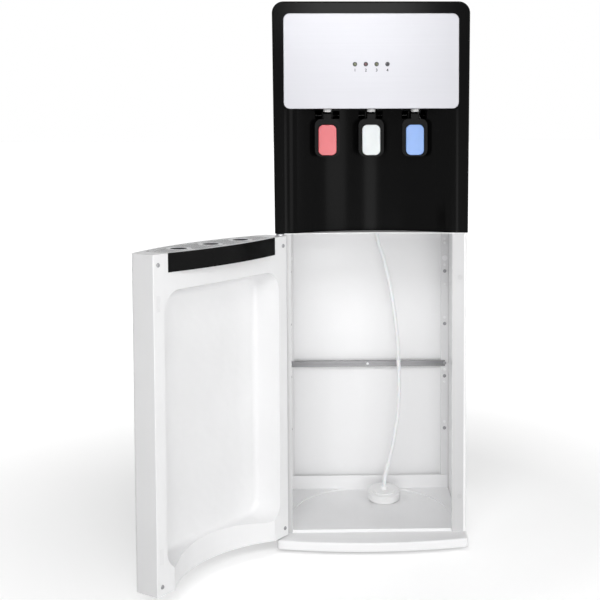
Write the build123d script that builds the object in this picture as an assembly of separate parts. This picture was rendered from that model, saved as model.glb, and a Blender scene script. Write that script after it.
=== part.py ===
from build123d import *
import math
import os

# Bottom-load water cooler. Millimetres, +Z up, front towards -Y.
# The origin is the centre of the cabinet's footprint on the floor.
# Everything is drawn with y = 0 on the front plane of the door jambs, and save() moves it so
# that the cabinet's depth is centred on the origin. The door is drawn shut and swung open.

# ---------------------------------------------------------------- cabinet
cabinet_width = 350.0
cabinet_depth = 330.0
cabinet_height = 1000.0
head_height = 420.0             # the black head, above the bay
sheet = 1.2                     # steel sheet of the side panels, posts and covers
edge_radius = 8.0               # rolled front edge of a side panel
foot_height = 6.0
foot_radius = 18.0
foot_inset_x = 34.0
foot_inset_y = 32.0
plinth_height = 16.0
plinth_wall = 3.0
plinth_reach_side = 35.0        # how far the plinth stands out of the jambs at its ends
plinth_reach_middle = 55.0
plinth_corner = 9.0
plinth_edge = 3.5
shelf_sheet = 1.5
jamb_width = 27.0
jamb_return = 12.0
wall_gap = 9.0                  # from the outer skin to the bay's side wall
bay_depth = 263.0
rear_flange = 15.0
cover_height = 40.0             # depth of the top cover's sides
cover_wall = 2.5
top_radius = 21.0
head_proud = 1.5                # how far the head's sides stand out of the cabinet's at its foot
head_flare = 3.0                # how much further they stand out at its top

# ---------------------------------------------------------------- bay
tray_thickness = 4.0
tray_recess = 2.5
tray_upstand = 31.0
tray_gap = 0.6
tray_lip = 3.0
bottle_radius = 150.0
bottle_centre_y = 105.0
post_width = 15.0
post_setback = 12.0             # rear wall to the front face of a post
post_screw_pitch = 108.5
post_screw_drop = 102.5         # bay ceiling to the top screw
post_screw_count = 4
post_hole_lift = 13.0           # each small hole stands this far above its screw
post_hole_radius = 2.2
post_port_radius = 6.0
post_port_drop = 75.5           # bay ceiling to the round port
screw_shank = 1.7
screw_head = 3.5
screw_head_height = 1.6
screw_length = 12.0
brace_z = 286.0
brace_height = 12.0
brace_overlap = 8.5             # how far the bar laps over each post
brace_lip = 4.0
strike_radius = 4.5
strike_height = 1.0

# ---------------------------------------------------------------- suction hose
hose_diameter = 8.0
gland_x = 14.5
gland_y = 150.0
gland_drop = 8.0
gland_radius = 7.0
gland_flange = 11.0
gland_neck = 6.0
cap_radius = 32.0
cap_height = 15.0
cap_step_radius = 23.0
cap_step = 2.5
cap_neck_radius = 6.5
cap_neck = 7.0
cap_bore = 27.7
cap_wall = 4.0
cap_tab = 8.0
cap_x = 30.0
cap_y = 184.0
cap_tilt = 10.0                 # degrees that the cap leans to the front

# ---------------------------------------------------------------- head
fascia_wall = 2.5
fascia_depth = 66.0
fascia_edge = 3.0
recess_height = 226.0
recess_half_width = 145.0
recess_depth = 50.0
recess_blend = 40.0
panel_width = 317.4
panel_height = 171.7
panel_thickness = 2.8
panel_proud = 1.3
panel_radius = 11.5
panel_gap = 0.3
lamp_pitch = 19.6
lamp_radius = 2.8
lamp_height = 81.0              # recess ceiling to the row of lamps
lamp_offset = -0.3
lamp_proud = 0.8
tap_pitch = 80.0
spout_radius = 7.5
spout_bore = 4.5
spout_drop = 5.0
spout_y = 14.0
slot_width = 45.0
slot_height = 15.0
slot_drop = 3.0
pad_width = 32.8
pad_height = 55.6
pad_radius = 9.5
pad_thickness = 3.0
pad_drop = 28.5                 # recess ceiling to the top of a pad
pad_y = 12.0
lever_width = 46.0
lever_thickness = 3.0
lever_border = 2.5
lever_arm_width = 14.0
lever_arm = 6.0
lever_pivot_y = 58.0
lever_pivot_drop = 11.5         # recess ceiling to a lever's pin
lever_hub = 4.5
lever_pin = 1.5
running_gap = 0.05
ear_thickness = 2.5
ear_gap = 0.5
valve_width = 26.0
valve_height = 32.0
plunger_radius = 2.5
spring_wire = 0.8
spring_turns = 5
spring_pitch = 1.7

# ---------------------------------------------------------------- door
door_gap = 2.0                  # between the jambs and the shut door
door_width = 348.0
door_edge = 48.0                # thickness at the side edges
door_bulge = 28.0               # how much further the front stands out at the middle
door_wall = 2.5
door_corner = 7.0
door_lift = 2.6                 # plinth to the door's underside
door_top_gap = 3.0
door_open = 125.0               # degrees, as photographed
hinge_side = 7.0                # pivot to the door's side face
hinge_in = 10.0                 # pivot to the door's inner face
hinge_pin = 2.5
hinge_bush = 4.5
hinge_bush_length = 12.0
hinge_fit = 0.02
hinge_plate_width = 14.0
liner_wall = 2.0
liner_flange = 2.0
liner_edge = 1.6                # rounding of the liner's upright edges, which pass close to the jamb
pocket_width = 300.0
pocket_foot = 32.4              # door's underside to the pocket
pocket_head = 61.0              # pocket to the door's top
pocket_depth = 48.0
pocket_radius = 36.0
pocket_draft = 16.0             # degrees
pocket_floor_radius = 12.0
scoop_half_width = 133.5
scoop_depth = 43.0
door_screw_inset = 11.0
door_screw_top = 17.0
door_screw_bottom = 15.0
magnet_width = 9.0
magnet_length = 26.0
magnet_thickness = 4.0
magnet_low = 64.4               # door's underside to the lower magnet
magnet_high = 79.0              # upper magnet to the door's top
basin_half_width = 141.4
basin_height = 31.0
basin_wall = 2.2
basin_bulge = 14.0
basin_rim = 7.0                 # door front to the basin's front
basin_ledge = 4.5
basin_gap = 0.3
basin_clearance = 2.0           # room round the shut basin, so its grille still lifts out
grille_thickness = 3.0
grille_rim = 5.0
grille_slot = 3.4
grille_slot_pitch = 7.0
cup_hole = 14.0
cup_ring = 21.0
cup_rib = 8.0
cup_from_inner = 31.0

# ---------------------------------------------------------------- inside the head
tank_shelf_height = 215.0
tank_shelf_flange = 16.0
cold_radius = 74.0
cold_length = 150.0
cold_y = 190.0
foam_thickness = 22.0
tank_wall = 1.5
vent_radius = 3.0
hot_radius = 52.0
hot_length = 170.0
hot_x = 92.0
hot_y = 165.0
hot_leg = 12.0
compressor_radius = 62.0
compressor_length = 150.0
compressor_x = -86.0
compressor_setback = 95.0
compressor_wall = 6.0
grommet_radius = 9.0
grommet_height = 10.0
grommet_spread = 45.0
pump_x = 62.0
pump_length = 54.0
pump_height = 40.0
pump_width = 36.0
pump_y = 88.0
pump_feet = 4.0
board_width = 120.0
board_height = 70.0
board_thickness = 1.6
board_y = 12.0
boss_radius = 3.0
boss_inset = 6.0
chip_width = 30.0
chip_height = 16.0
chip_rise = 4.0
relay_width = 26.0
relay_height = 30.0
relay_rise = 16.0
capacitor_radius = 4.0
capacitor_pitch = 10.0
capacitor_rise = 18.0
line_radius = 4.0
line_bend = 11.0
line_rise = 20.0                # how far the lines rise over the tanks before they turn
line_front_gap = 17.0           # foam to the lines in front of it
gas_radius = 3.0

# ---------------------------------------------------------------- back
louvre_width = 62.0
louvre_height = 4.0
louvre_pitch_x = 84.0
louvre_pitch_z = 16.0
louvre_columns = 3
louvre_rows = 9
louvre_lift = 210.0             # head's foot to the lowest row
coil_radius = 2.5
coil_bend = 14.0
coil_half_width = 125.0
coil_bottom = 100.0
coil_pitch = 36.0
coil_head_room = 48.0           # coil to the height of the bay's ceiling
coil_setback = 24.0
coil_riser = 140.0
wire_radius = 0.8
wire_pitch = 14.0
wire_count = 17
weld_gap = 0.02
bracket_height = 16.0
bracket_foot = 22.0
bracket_inset = 56.0            # from the coil's top and bottom rows
switch_x = (-128.0, -98.0)
switch_lift = 110.0
rocker_width = 12.0
rocker_height = 21.0
rocker_depth = 9.0
rocker_angle = 8.0
rocker_pin = 1.2
rocker_gap_side = 0.6
rocker_gap_end = 1.4             # the rocker's tips swing past its height
switch_wall = 2.0
switch_depth = 20.0
drain_x = 92.0
drain_lift = 40.0
drain_pipe = 7.0
drain_bore = 4.5
drain_proud = 8.0
plug_radius = 12.0
plug_length = 10.0
plug_stem = 9.0
inlet_x = -128.0
inlet_lift = 32.0
inlet_radius = 8.0
inlet_bore = 3.6
inlet_length = 16.0

# ---------------------------------------------------------------- places worked out from these
half_width = cabinet_width / 2
front_shift = -cabinet_depth / 2
plinth_top = foot_height + plinth_height
fascia_bottom = cabinet_height - head_height
shelf_bottom = fascia_bottom - shelf_sheet
inner_half = half_width - sheet
jamb_inner = half_width - jamb_width
wall_x = half_width - wall_gap
back_y = cabinet_depth - sheet
cover_bottom = cabinet_height - cover_height
tray_top = plinth_top + tray_thickness
post_y = bay_depth - post_setback
post_inner = wall_x - tray_gap / 2 - post_width
post_screw_top = shelf_bottom - post_screw_drop
post_port_z = shelf_bottom - post_port_drop
recess_top = fascia_bottom + recess_height
lamp_z = recess_top + lamp_height
pad_top = recess_top - pad_drop
slot_top = recess_top - slot_drop
lever_pivot_z = recess_top - lever_pivot_drop
panel_bottom = recess_top + 0.6
panel_z = panel_bottom + panel_height / 2
ceiling_top = recess_top + fascia_wall
door_half = door_width / 2
door_bottom = plinth_top + door_lift
door_top = fascia_bottom - door_top_gap
pocket_bottom = door_bottom + pocket_foot
pocket_top = door_top - pocket_head
magnet_z = (door_bottom + magnet_low, door_top - magnet_high)
door_inner = -door_gap
door_edge_y = door_inner - door_edge
door_front_y = door_edge_y - door_bulge
hinge_x = -door_half + hinge_side
hinge_y = door_inner - hinge_in
basin_bottom = door_top - basin_height
tap_places = tuple(i * tap_pitch for i in (-1, 0, 1))
lever_back = pad_y + pad_thickness + lever_thickness
tank_shelf_z = fascia_bottom + tank_shelf_height
compressor_y = cabinet_depth - compressor_setback
louvre_bottom = fascia_bottom + louvre_lift
coil_y = cabinet_depth - coil_setback
coil_rows = int((fascia_bottom - coil_head_room - coil_bottom) / coil_pitch) + 1
coil_top = coil_bottom + (coil_rows - 1) * coil_pitch
bracket_z = (coil_bottom + bracket_inset, coil_top - bracket_inset)
switch_z = fascia_bottom + switch_lift
drain_z = fascia_bottom + drain_lift
inlet_z = fascia_bottom + inlet_lift


# ---------------------------------------------------------------- helpers
def block(x0, x1, y0, y1, z0, z1):
    """Box between two corners."""
    return Pos((x0 + x1) / 2, (y0 + y1) / 2, (z0 + z1) / 2) * Box(x1 - x0, y1 - y0, z1 - z0)


def column(x, y, z0, z1, radius):
    """Upright cylinder."""
    return Pos(x, y, (z0 + z1) / 2) * Cylinder(radius, z1 - z0)


def rod_x(x0, x1, y, z, radius):
    """Cylinder along X."""
    return Pos((x0 + x1) / 2, y, z) * Rot(0, 90, 0) * Cylinder(radius, x1 - x0)


def rod_y(x, y0, y1, z, radius):
    """Cylinder along Y."""
    return Pos(x, (y0 + y1) / 2, z) * Rot(90, 0, 0) * Cylinder(radius, y1 - y0)


def prism(sketch, z0, z1):
    """A plan outline raised from z0 to z1."""
    return Pos(0, 0, z0) * extrude(sketch, amount=z1 - z0)


def front_prism(sketch, y0, y1):
    """A front-view outline (x, z) run back from y0 to y1."""
    return Pos(0, y1, 0) * extrude(Plane.XZ * sketch, amount=y1 - y0)


def front_plate(x, z, width, height, radius, y0, y1):
    """Rounded rectangular plate facing the front."""
    return front_prism(Pos(x, z) * RectangleRounded(width, height, radius), y0, y1)


def both_sides(shape):
    """A shape and its mirror image across the middle plane."""
    return [shape, mirror(shape, about=Plane.YZ)]


def near(sketch, x, y):
    """The corner of a plan outline nearest to a point."""
    return min(sketch.vertices(), key=lambda v: (v.X - x) ** 2 + (v.Y - y) ** 2)


def chord_radius(half_chord, rise):
    """Radius of the arc that rises by so much over a chord."""
    return (half_chord ** 2 + rise ** 2) / (2 * rise)


def swing(shape):
    """Turn a piece of the shut door to the open door's place."""
    return Pos(hinge_x, hinge_y, 0) * Rot(0, 0, -door_open) * Pos(-hinge_x, -hinge_y, 0) * shape


def save(node, shape):
    """Write one piece, or a group of separate like pieces."""
    if isinstance(shape, (list, tuple)):
        shape = Compound(children=[s for piece in shape for s in piece.solids()])
    export_step(Pos(0, front_shift, 0) * shape, "parts/" + node + ".step")


# ---------------------------------------------------------------- base
def foot_places():
    x = half_width - foot_inset_x
    return [(sx * x, y) for sx in (-1, 1) for y in (foot_inset_y, cabinet_depth - foot_inset_y)]


def plinth_plan(inset):
    half = half_width - inset
    side_y = -plinth_reach_side + inset
    middle_y = -plinth_reach_middle + inset
    back = cabinet_depth - inset
    plan = make_face([
        Line((half, back), (-half, back)),
        Line((-half, back), (-half, side_y)),
        ThreePointArc((-half, side_y), (0, middle_y), (half, side_y)),
        Line((half, side_y), (half, back)),
    ])
    corners = [near(plan, -half, side_y), near(plan, half, side_y)]
    return fillet(corners, max(plinth_corner - inset, plinth_wall))


def base_plinth():
    body = prism(plinth_plan(0), foot_height, plinth_top)
    rim = [e for e in body.faces().sort_by(Axis.Z)[-1].edges() if e.center().Y < 0]
    body = fillet(rim, plinth_edge)
    body -= prism(plinth_plan(plinth_wall), foot_height - 1, plinth_top - plinth_wall)
    for x, y in foot_places():
        body += column(x, y, foot_height, plinth_top, foot_radius + 2)
    return body - column(hinge_x, hinge_y, plinth_top - 2, plinth_top + 1, hinge_pin + 0.5)


def rubber_feet():
    return [column(x, y, 0, foot_height, foot_radius) for x, y in foot_places()]


# ---------------------------------------------------------------- cabinet shell
def side_profile():
    """Plan of the right side panel: skin, jamb, return and inner wall folded from one sheet."""
    plan = make_face(Polyline(
        (half_width, back_y),
        (half_width, 0),
        (jamb_inner, 0),
        (jamb_inner, jamb_return),
        (wall_x, jamb_return),
        (wall_x, bay_depth),
        (wall_x + sheet, bay_depth),
        (wall_x + sheet, jamb_return - sheet),
        (jamb_inner + sheet, jamb_return - sheet),
        (jamb_inner + sheet, sheet),
        (inner_half, sheet),
        (inner_half, back_y),
        close=True,
    ))
    plan = fillet([near(plan, half_width, 0)], edge_radius)
    return fillet([near(plan, inner_half, sheet)], edge_radius - sheet)


def side_panel():
    """The right side panel."""
    panel = prism(side_profile(), plinth_top, shelf_bottom)
    panel += block(inner_half, half_width, fascia_depth, back_y, plinth_top, cover_bottom)
    flange_x = half_width - rear_flange
    panel += block(flange_x, half_width, back_y - sheet, back_y, plinth_top, cover_bottom)
    return panel


def bay_rear_wall():
    wall = block(-wall_x, wall_x, bay_depth, bay_depth + sheet, plinth_top, shelf_bottom)
    lip_y = bay_depth + sheet
    wall += block(-wall_x, wall_x, lip_y, lip_y + 10, shelf_bottom - sheet, shelf_bottom)
    wall += block(-wall_x, wall_x, lip_y, lip_y + 10, plinth_top, plinth_top + sheet)
    return wall


def hinge_notch(gap):
    """Room for the upper hinge plate in the shelf's front left corner."""
    edge = hinge_x + hinge_plate_width / 2 + gap
    return block(-half_width - 1, edge, -1, jamb_return + 4 + gap, shelf_bottom - 1, fascia_bottom + 1)


def bay_shelf():
    """Ceiling of the bay and floor of the head; its front edge clears the shut door's basin."""
    shelf = block(-half_width, half_width, 0.6, fascia_depth - 0.2, shelf_bottom, fascia_bottom)
    shelf += block(-inner_half + 0.1, inner_half - 0.1, fascia_depth - 1, back_y - sheet - 0.2,
                   shelf_bottom, fascia_bottom)
    shelf -= hinge_notch(0.3)
    shelf -= prism(basin_plan(-basin_clearance), shelf_bottom - 1, fascia_bottom + 1)
    shelf -= column(gland_x, gland_y, shelf_bottom - 1, fascia_bottom + 1, gland_neck + 0.1)
    for side in (-1, 1):
        shelf -= column(side * coil_riser, coil_y, shelf_bottom - 1, fascia_bottom + 1, gas_radius + 0.5)
    return shelf


def post_screw_heights():
    return [post_screw_top - i * post_screw_pitch for i in range(post_screw_count)]


def rear_post():
    """Perforated angle in the bay's right rear corner."""
    outer = post_inner + post_width
    post = block(post_inner, outer, post_y, post_y + sheet, tray_top, shelf_bottom)
    post += block(post_inner, post_inner + sheet, post_y, bay_depth, tray_top, shelf_bottom)
    x = (post_inner + outer) / 2
    for z in post_screw_heights():
        post -= rod_y(x, post_y - 1, post_y + sheet + 1, z, screw_shank + 0.1)
        post -= rod_y(x, post_y - 1, post_y + sheet + 1, z + post_hole_lift, post_hole_radius)
    post -= rod_y(x, post_y - 1, post_y + sheet + 1, brace_z, screw_shank + 0.1)
    top_pair = (post_port_z + 31, post_port_z + 40)
    for z in top_pair:
        post -= rod_y(x, post_y - 1, post_y + sheet + 1, z, post_hole_radius)
    return post - rod_y(x, post_y - 1, post_y + sheet + 1, post_port_z, post_port_radius * 0.8)


def screw_to_back(x, y, z, length):
    """Pan-head screw driven towards +Y, its head seated at y."""
    screw = rod_y(x, y - screw_head_height, y, z, screw_head)
    screw = fillet(screw.faces().sort_by(Axis.Y)[0].edges(), screw_head_height * 0.6)
    screw += rod_y(x, y, y + length, z, screw_shank)
    slot_y = y - screw_head_height
    screw -= block(x - 2, x + 2, slot_y - 1, slot_y + 0.6, z - 0.4, z + 0.4)
    return screw - block(x - 0.4, x + 0.4, slot_y - 1, slot_y + 0.6, z - 2, z + 2)


def post_screws():
    x = post_inner + post_width / 2
    screws = [screw_to_back(x, post_y, z, screw_length / 2) for z in post_screw_heights()]
    screws.append(screw_to_back(x, post_y - sheet, brace_z, screw_length / 2))
    return [piece for screw in screws for piece in both_sides(screw)]


def brace_bar():
    """Steel strip across the bay, lipped along both edges between the posts."""
    end = post_inner + brace_overlap
    low = brace_z - brace_height / 2
    high = brace_z + brace_height / 2
    bar = block(-end, end, post_y - sheet, post_y, low, high)
    inside = post_inner - 0.5
    for z0, z1 in ((low, low + sheet), (high - sheet, high)):
        bar += block(-inside, inside, post_y - sheet, post_y + brace_lip, z0, z1)
    screw_x = post_inner + post_width / 2
    for x in (-screw_x, 0, screw_x):
        bar -= rod_y(x, post_y - sheet - 1, post_y + 1, brace_z, screw_shank + 0.1)
    return bar


def bottle_tray():
    """Floor of the bay, with a round dish for the bottle and an upstand at the back."""
    side = wall_x - tray_gap
    front_side = jamb_inner - tray_gap
    front_end = jamb_return + tray_gap
    back = post_y - tray_gap
    tray = block(-front_side, front_side, tray_lip, front_end + 1, plinth_top, tray_top)
    tray += block(-side, side, front_end, back, plinth_top, tray_top)
    dish = column(0, bottle_centre_y, tray_top - tray_recess, tray_top + 1, bottle_radius)
    dish -= block(-side, side, -bottle_radius, tray_lip + 5, plinth_top, tray_top + 1)
    tray -= dish
    tray += block(-side, side, back - 2, back, plinth_top, plinth_top + tray_upstand)
    bead = rod_x(-front_side, front_side, tray_lip + 1.5, tray_top, 1.2)
    return tray + bead


def strike_plates():
    """Steel buttons on the right jamb that the door's magnets meet."""
    x = door_half - door_screw_inset - 1
    plates = []
    for z in magnet_z:
        plates.append(rod_y(x, -strike_height, 0, z, strike_radius))
    return plates


def top_cover():
    """Moulded cover over the head, its long edges rounded like the front."""
    ledge_top = cover_bottom + cover_wall
    inner_back = cabinet_depth - cover_wall
    mouth = half_width - cover_wall
    cover = front_prism(head_outline(0, cover_bottom), fascia_depth + 0.2, cabinet_depth)
    cover -= front_prism(head_outline(cover_wall, ledge_top), fascia_depth - 1, inner_back)
    return cover - block(-mouth, mouth, fascia_depth - 1, inner_back, cover_bottom - 1, ledge_top + 1)


# ---------------------------------------------------------------- suction hose, gland and cap
def cap_frame():
    """Frame of the bottle cap: its origin on the underside, its axis leaning to the front."""
    lean = math.radians(cap_tilt)
    lift = cap_radius * math.sin(lean) + tray_top - tray_recess + 0.3
    return Pos(cap_x, cap_y, lift) * Rot(cap_tilt, 0, 0)


def cap_axis_point(height):
    """A point on the cap's axis, above its underside."""
    place = cap_frame() * Pos(0, 0, height)
    return place.position


def bottle_cap():
    body = Pos(0, 0, cap_height / 2) * Cylinder(cap_radius, cap_height)
    body = fillet(body.faces().sort_by(Axis.Z)[-1].edges(), 1.5)
    body += Pos(0, 0, cap_height + cap_step / 2) * Cylinder(cap_step_radius, cap_step)
    top = cap_height + cap_step
    body += Pos(0, 0, top + cap_neck / 2) * Cylinder(cap_neck_radius, cap_neck)
    body -= Pos(0, 0, (cap_height - cap_wall) / 2 - 0.5) * Cylinder(cap_bore, cap_height - cap_wall + 1)
    tab = block(-cap_tab / 2, cap_tab / 2, -cap_radius - 2.5, -cap_radius + 2, 2, cap_height - 1)
    return cap_frame() * (body + tab)


def hose_route():
    """Corners of the hose's route, from the gland to the cap; chosen by hand."""
    neck_top = cap_height + cap_step + cap_neck
    last_corner = cap_axis_point(neck_top + 14)
    end = cap_axis_point(neck_top)
    start_z = shelf_bottom - gland_drop
    return [
        (gland_x, gland_y, start_z),
        (gland_x, gland_y, start_z - 16),
        (gland_x + 15, gland_y + 3, start_z - 57),
        (gland_x + 26.5, gland_y + 7, start_z - 109),
        (gland_x + 35.5, gland_y + 11, start_z - 161),
        (gland_x + 41.5, gland_y + 14.5, start_z - 213),
        (gland_x + 44.5, gland_y + 18, start_z - 265),
        (gland_x + 45.5, gland_y + 21, start_z - 317),
        (gland_x + 43.5, gland_y + 23.5, start_z - 366),
        (gland_x + 36.5, gland_y + 25.5, start_z - 415),
        (gland_x + 27.5, gland_y + 27, start_z - 457),
        (last_corner.X, last_corner.Y, last_corner.Z),
        (end.X, end.Y, end.Z),
    ]


def suction_hose():
    """Limp tube along straight runs joined by tangent arcs."""
    points = [Vector(*p) for p in hose_route()]
    radii = []
    for a, b, c in zip(points, points[1:], points[2:]):
        turn = math.radians((b - a).get_angle(c - b))
        run = min((b - a).length, (c - b).length)
        radii.append(0.45 * run / math.tan(turn / 2))
    path = FilletPolyline(*points, radius=radii)
    section = Plane(origin=path @ 0, z_dir=path % 0) * Circle(hose_diameter / 2)
    tube = sweep(section, path=path)
    expected = math.pi * (hose_diameter / 2) ** 2 * path.length
    print("hose radii", [round(r) for r in radii])
    print("hose length", round(path.length, 1), "volume over section x length", round(tube.volume / expected, 4))
    return tube


def hose_gland():
    z = shelf_bottom
    body = column(gland_x, gland_y, z - 3, z, gland_flange)
    body += column(gland_x, gland_y, z - gland_drop, z - 3, gland_radius)
    body += column(gland_x, gland_y, z, fascia_bottom + 8, gland_neck)
    return body - column(gland_x, gland_y, z - gland_drop - 1, fascia_bottom + 9, hose_diameter / 2 - 1.2)


# ---------------------------------------------------------------- fascia and panel
def head_half(z):
    """Half the head's width at a height: it widens a little towards the top."""
    return half_width + head_proud + head_flare * (z - fascia_bottom) / head_height


def head_outline(inset, bottom):
    """Front view of the head above a height, rounded at the top corners."""
    low = head_half(bottom) - inset
    high = head_half(cabinet_height) - inset
    top = cabinet_height - inset
    outline = make_face(Polyline((-low, bottom), (low, bottom), (high, top), (-high, top), close=True))
    return fillet([near(outline, -high, top), near(outline, high, top)], top_radius - inset)


def recess_plan(offset):
    """Plan of the room in front of the concave recess, grown by offset."""
    radius = chord_radius(recess_half_width, recess_depth)
    centre_y = recess_depth - radius
    plan = Pos(0, centre_y) * Circle(radius + offset)
    keep = make_face(Polyline((-half_width, offset), (half_width, offset), (half_width, radius), (-half_width, radius), close=True))
    plan &= keep
    plan += Pos(0, offset - 20) * Rectangle(cabinet_width + 20, 40)
    half = math.sqrt((radius + offset) ** 2 - (offset - centre_y) ** 2)
    corners = [near(plan, -half, offset), near(plan, half, offset)]
    return fillet(corners, recess_blend - offset)


def lever_ears(x):
    inside = lever_arm_width / 2 + ear_gap
    ears = []
    for x0 in (x - inside - ear_thickness, x + inside):
        ear = block(x0, x0 + ear_thickness, lever_pivot_y - 5, lever_pivot_y + 5, lever_pivot_z - 5, recess_top + 1)
        ears.append(ear - rod_x(x0 - 1, x0 + ear_thickness + 1, lever_pivot_y, lever_pivot_z, lever_pin + hinge_fit))
    return ears


def lamp_places():
    return [lamp_offset + (i - 1.5) * lamp_pitch for i in range(4)]


def front_fascia():
    """Moulded front of the head, with the concave recess below the panel."""
    body = front_prism(head_outline(0, fascia_bottom), 0, fascia_depth)
    rim = [e for e in body.faces().sort_by(Axis.Y)[0].edges() if e.center().Z > fascia_bottom + 1]
    body = fillet(rim, fascia_edge)
    body -= front_prism(head_outline(fascia_wall, fascia_bottom - 1), fascia_wall, fascia_depth + 1)
    room = front_prism(head_outline(fascia_wall / 2, fascia_bottom), 0.5, fascia_depth)
    wide = head_half(cabinet_height)
    body += prism(recess_plan(fascia_wall), fascia_bottom, ceiling_top) & room
    body += block(-wide, wide, fascia_wall, fascia_depth, recess_top, ceiling_top) & room
    flange = block(half_width - fascia_wall, wide, fascia_depth - fascia_wall, fascia_depth, fascia_bottom, cover_bottom)
    for side_flange in both_sides(flange & room):
        body += side_flange
    sink = panel_thickness - panel_proud
    body += front_plate(0, panel_z, panel_width + 8, panel_height + 3, panel_radius, fascia_wall / 2, sink + fascia_wall)
    body -= prism(recess_plan(0), fascia_bottom - 1, recess_top)
    body -= front_plate(0, panel_z, panel_width + 2 * panel_gap, panel_height + 2 * panel_gap,
                        panel_radius + panel_gap, -1, sink)
    for x in tap_places:
        body -= block(x - slot_width / 2, x + slot_width / 2, 15, lever_pivot_y - 5.2, slot_top - slot_height, slot_top)
        body -= column(x, spout_y, recess_top - 1, ceiling_top + 1, spout_radius + 0.1)
        body -= column(x, lever_pivot_y + 4, recess_top - 1, ceiling_top + 1, plunger_radius + 0.3)
        for ear in lever_ears(x):
            body += ear
    for x in lamp_places():
        body -= rod_y(x, -1, board_y, lamp_z, lamp_radius + 0.3)
    return body


def control_panel():
    """Brushed face plate with four lamp holes."""
    sink = panel_thickness - panel_proud
    plate = front_plate(0, panel_z, panel_width, panel_height, panel_radius, -panel_proud, sink)
    plate = chamfer(plate.faces().sort_by(Axis.Y)[0].edges(), 0.7)
    for x in lamp_places():
        plate -= rod_y(x, -panel_proud - 1, sink + 1, lamp_z, lamp_radius + 0.1)
    return plate


def lamp(x):
    """Domed indicator lens on the control board."""
    body = rod_y(x, -panel_proud - lamp_proud, board_y, lamp_z, lamp_radius)
    return fillet(body.faces().sort_by(Axis.Y)[0].edges(), lamp_radius * 0.6)


def control_board():
    """Board behind the lamps: a chip, a relay and two capacitors, standing on four bosses."""
    half = board_width / 2
    low = lamp_z - board_height / 2
    high = lamp_z + board_height / 2
    board = block(-half, half, board_y, board_y + board_thickness, low, high)
    face = board_y + board_thickness
    board += block(-chip_width, 0, face, face + chip_rise, low + boss_inset, low + boss_inset + chip_height)
    board += block(relay_width, 2 * relay_width, face, face + relay_rise, low + boss_inset, low + boss_inset + relay_height)
    for i in (3, 4):
        board += rod_y(-i * capacitor_pitch, face, face + capacitor_rise, high - 2 * capacitor_pitch, capacitor_radius)
    for x in (-half + boss_inset, half - boss_inset):
        for z in (low + boss_inset, high - boss_inset):
            board += rod_y(x, panel_thickness - panel_proud + fascia_wall, board_y, z, boss_radius)
    return board


# ---------------------------------------------------------------- taps
def spout(x):
    """White nozzle through the recess's ceiling."""
    low = recess_top - spout_drop
    body = column(x, spout_y, low, ceiling_top, spout_radius)
    body = chamfer(body.faces().sort_by(Axis.Z)[0].edges(), 0.8)
    return body - column(x, spout_y, low - 1, ceiling_top + 1, spout_bore)


def tap_valve(x):
    """Valve body on the recess's ceiling, with its plunger over the lever's tail."""
    back = lever_pivot_y + 7
    body = block(x - valve_width / 2, x + valve_width / 2, spout_y - 9, back, ceiling_top, ceiling_top + valve_height)
    body = fillet(body.edges().filter_by(Axis.Z), 3)
    body += column(x, lever_pivot_y + 4, lever_pivot_z + lever_hub + 1, ceiling_top + 1, plunger_radius)
    top = ceiling_top + valve_height
    body += column(x, back - 14, top, top + 10, line_radius + 1)
    return body - column(x, back - 14, top - 8, top + 11, line_radius - 1.5)


def lever(x):
    """Black lever: a plate behind the coloured pad, up to its window, and an arm back to the pin."""
    plate_y0 = pad_y + pad_thickness
    plate_low = pad_top - pad_height - lever_border
    plate_high = slot_top - slot_height
    middle = (plate_low + plate_high) / 2
    body = front_plate(x, middle, lever_width, plate_high - plate_low, pad_radius + lever_border, plate_y0, lever_back)
    half = lever_arm_width / 2
    body += block(x - half, x + half, plate_y0, lever_back, middle, lever_pivot_z + lever_arm / 2)
    body += block(x - half, x + half, plate_y0, lever_pivot_y, lever_pivot_z - lever_arm / 2, lever_pivot_z + lever_arm / 2)
    body += rod_x(x - half, x + half, lever_pivot_y, lever_pivot_z, lever_hub)
    return body - rod_x(x - half - 1, x + half + 1, lever_pivot_y, lever_pivot_z, lever_pin + running_gap)


def pad(x):
    """Coloured push pad on the lever's plate, its front edge rounded."""
    body = front_plate(x, pad_top - pad_height / 2, pad_width, pad_height, pad_radius, pad_y, pad_y + pad_thickness)
    return fillet(body.faces().sort_by(Axis.Y)[0].edges(), pad_thickness * 0.5)


def lever_pins():
    reach = lever_arm_width / 2 + ear_gap + ear_thickness
    return [rod_x(x - reach, x + reach, lever_pivot_y, lever_pivot_z, lever_pin) for x in tap_places]


def lever_springs():
    """Return springs, each one unbroken coil round its pin beyond the right ear."""
    start = lever_arm_width / 2 + ear_gap + ear_thickness + spring_wire
    coil_r = lever_pin + 1.4
    height = spring_pitch * spring_turns
    springs = []
    for x in tap_places:
        helix = Pos(x + start, lever_pivot_y, lever_pivot_z) * Rot(0, 90, 0) * Helix(spring_pitch, height, coil_r)
        section = Plane(origin=helix @ 0, z_dir=helix % 0) * Circle(spring_wire / 2)
        springs.append(sweep(section, path=helix))
    print("spring gap between turns", round(spring_pitch - spring_wire, 2))
    return springs


# ---------------------------------------------------------------- door
def door_plan(inset, inner_y):
    """Plan of the shut door, set in from its edges, back to inner_y."""
    half = door_half - inset
    edge = door_edge_y + inset
    plan = make_face([
        Line((half, inner_y), (-half, inner_y)),
        Line((-half, inner_y), (-half, edge)),
        ThreePointArc((-half, edge), (0, door_front_y + inset), (half, edge)),
        Line((half, edge), (half, inner_y)),
    ])
    return fillet([near(plan, -half, edge), near(plan, half, edge)], max(door_corner - inset, 1.0))


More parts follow.
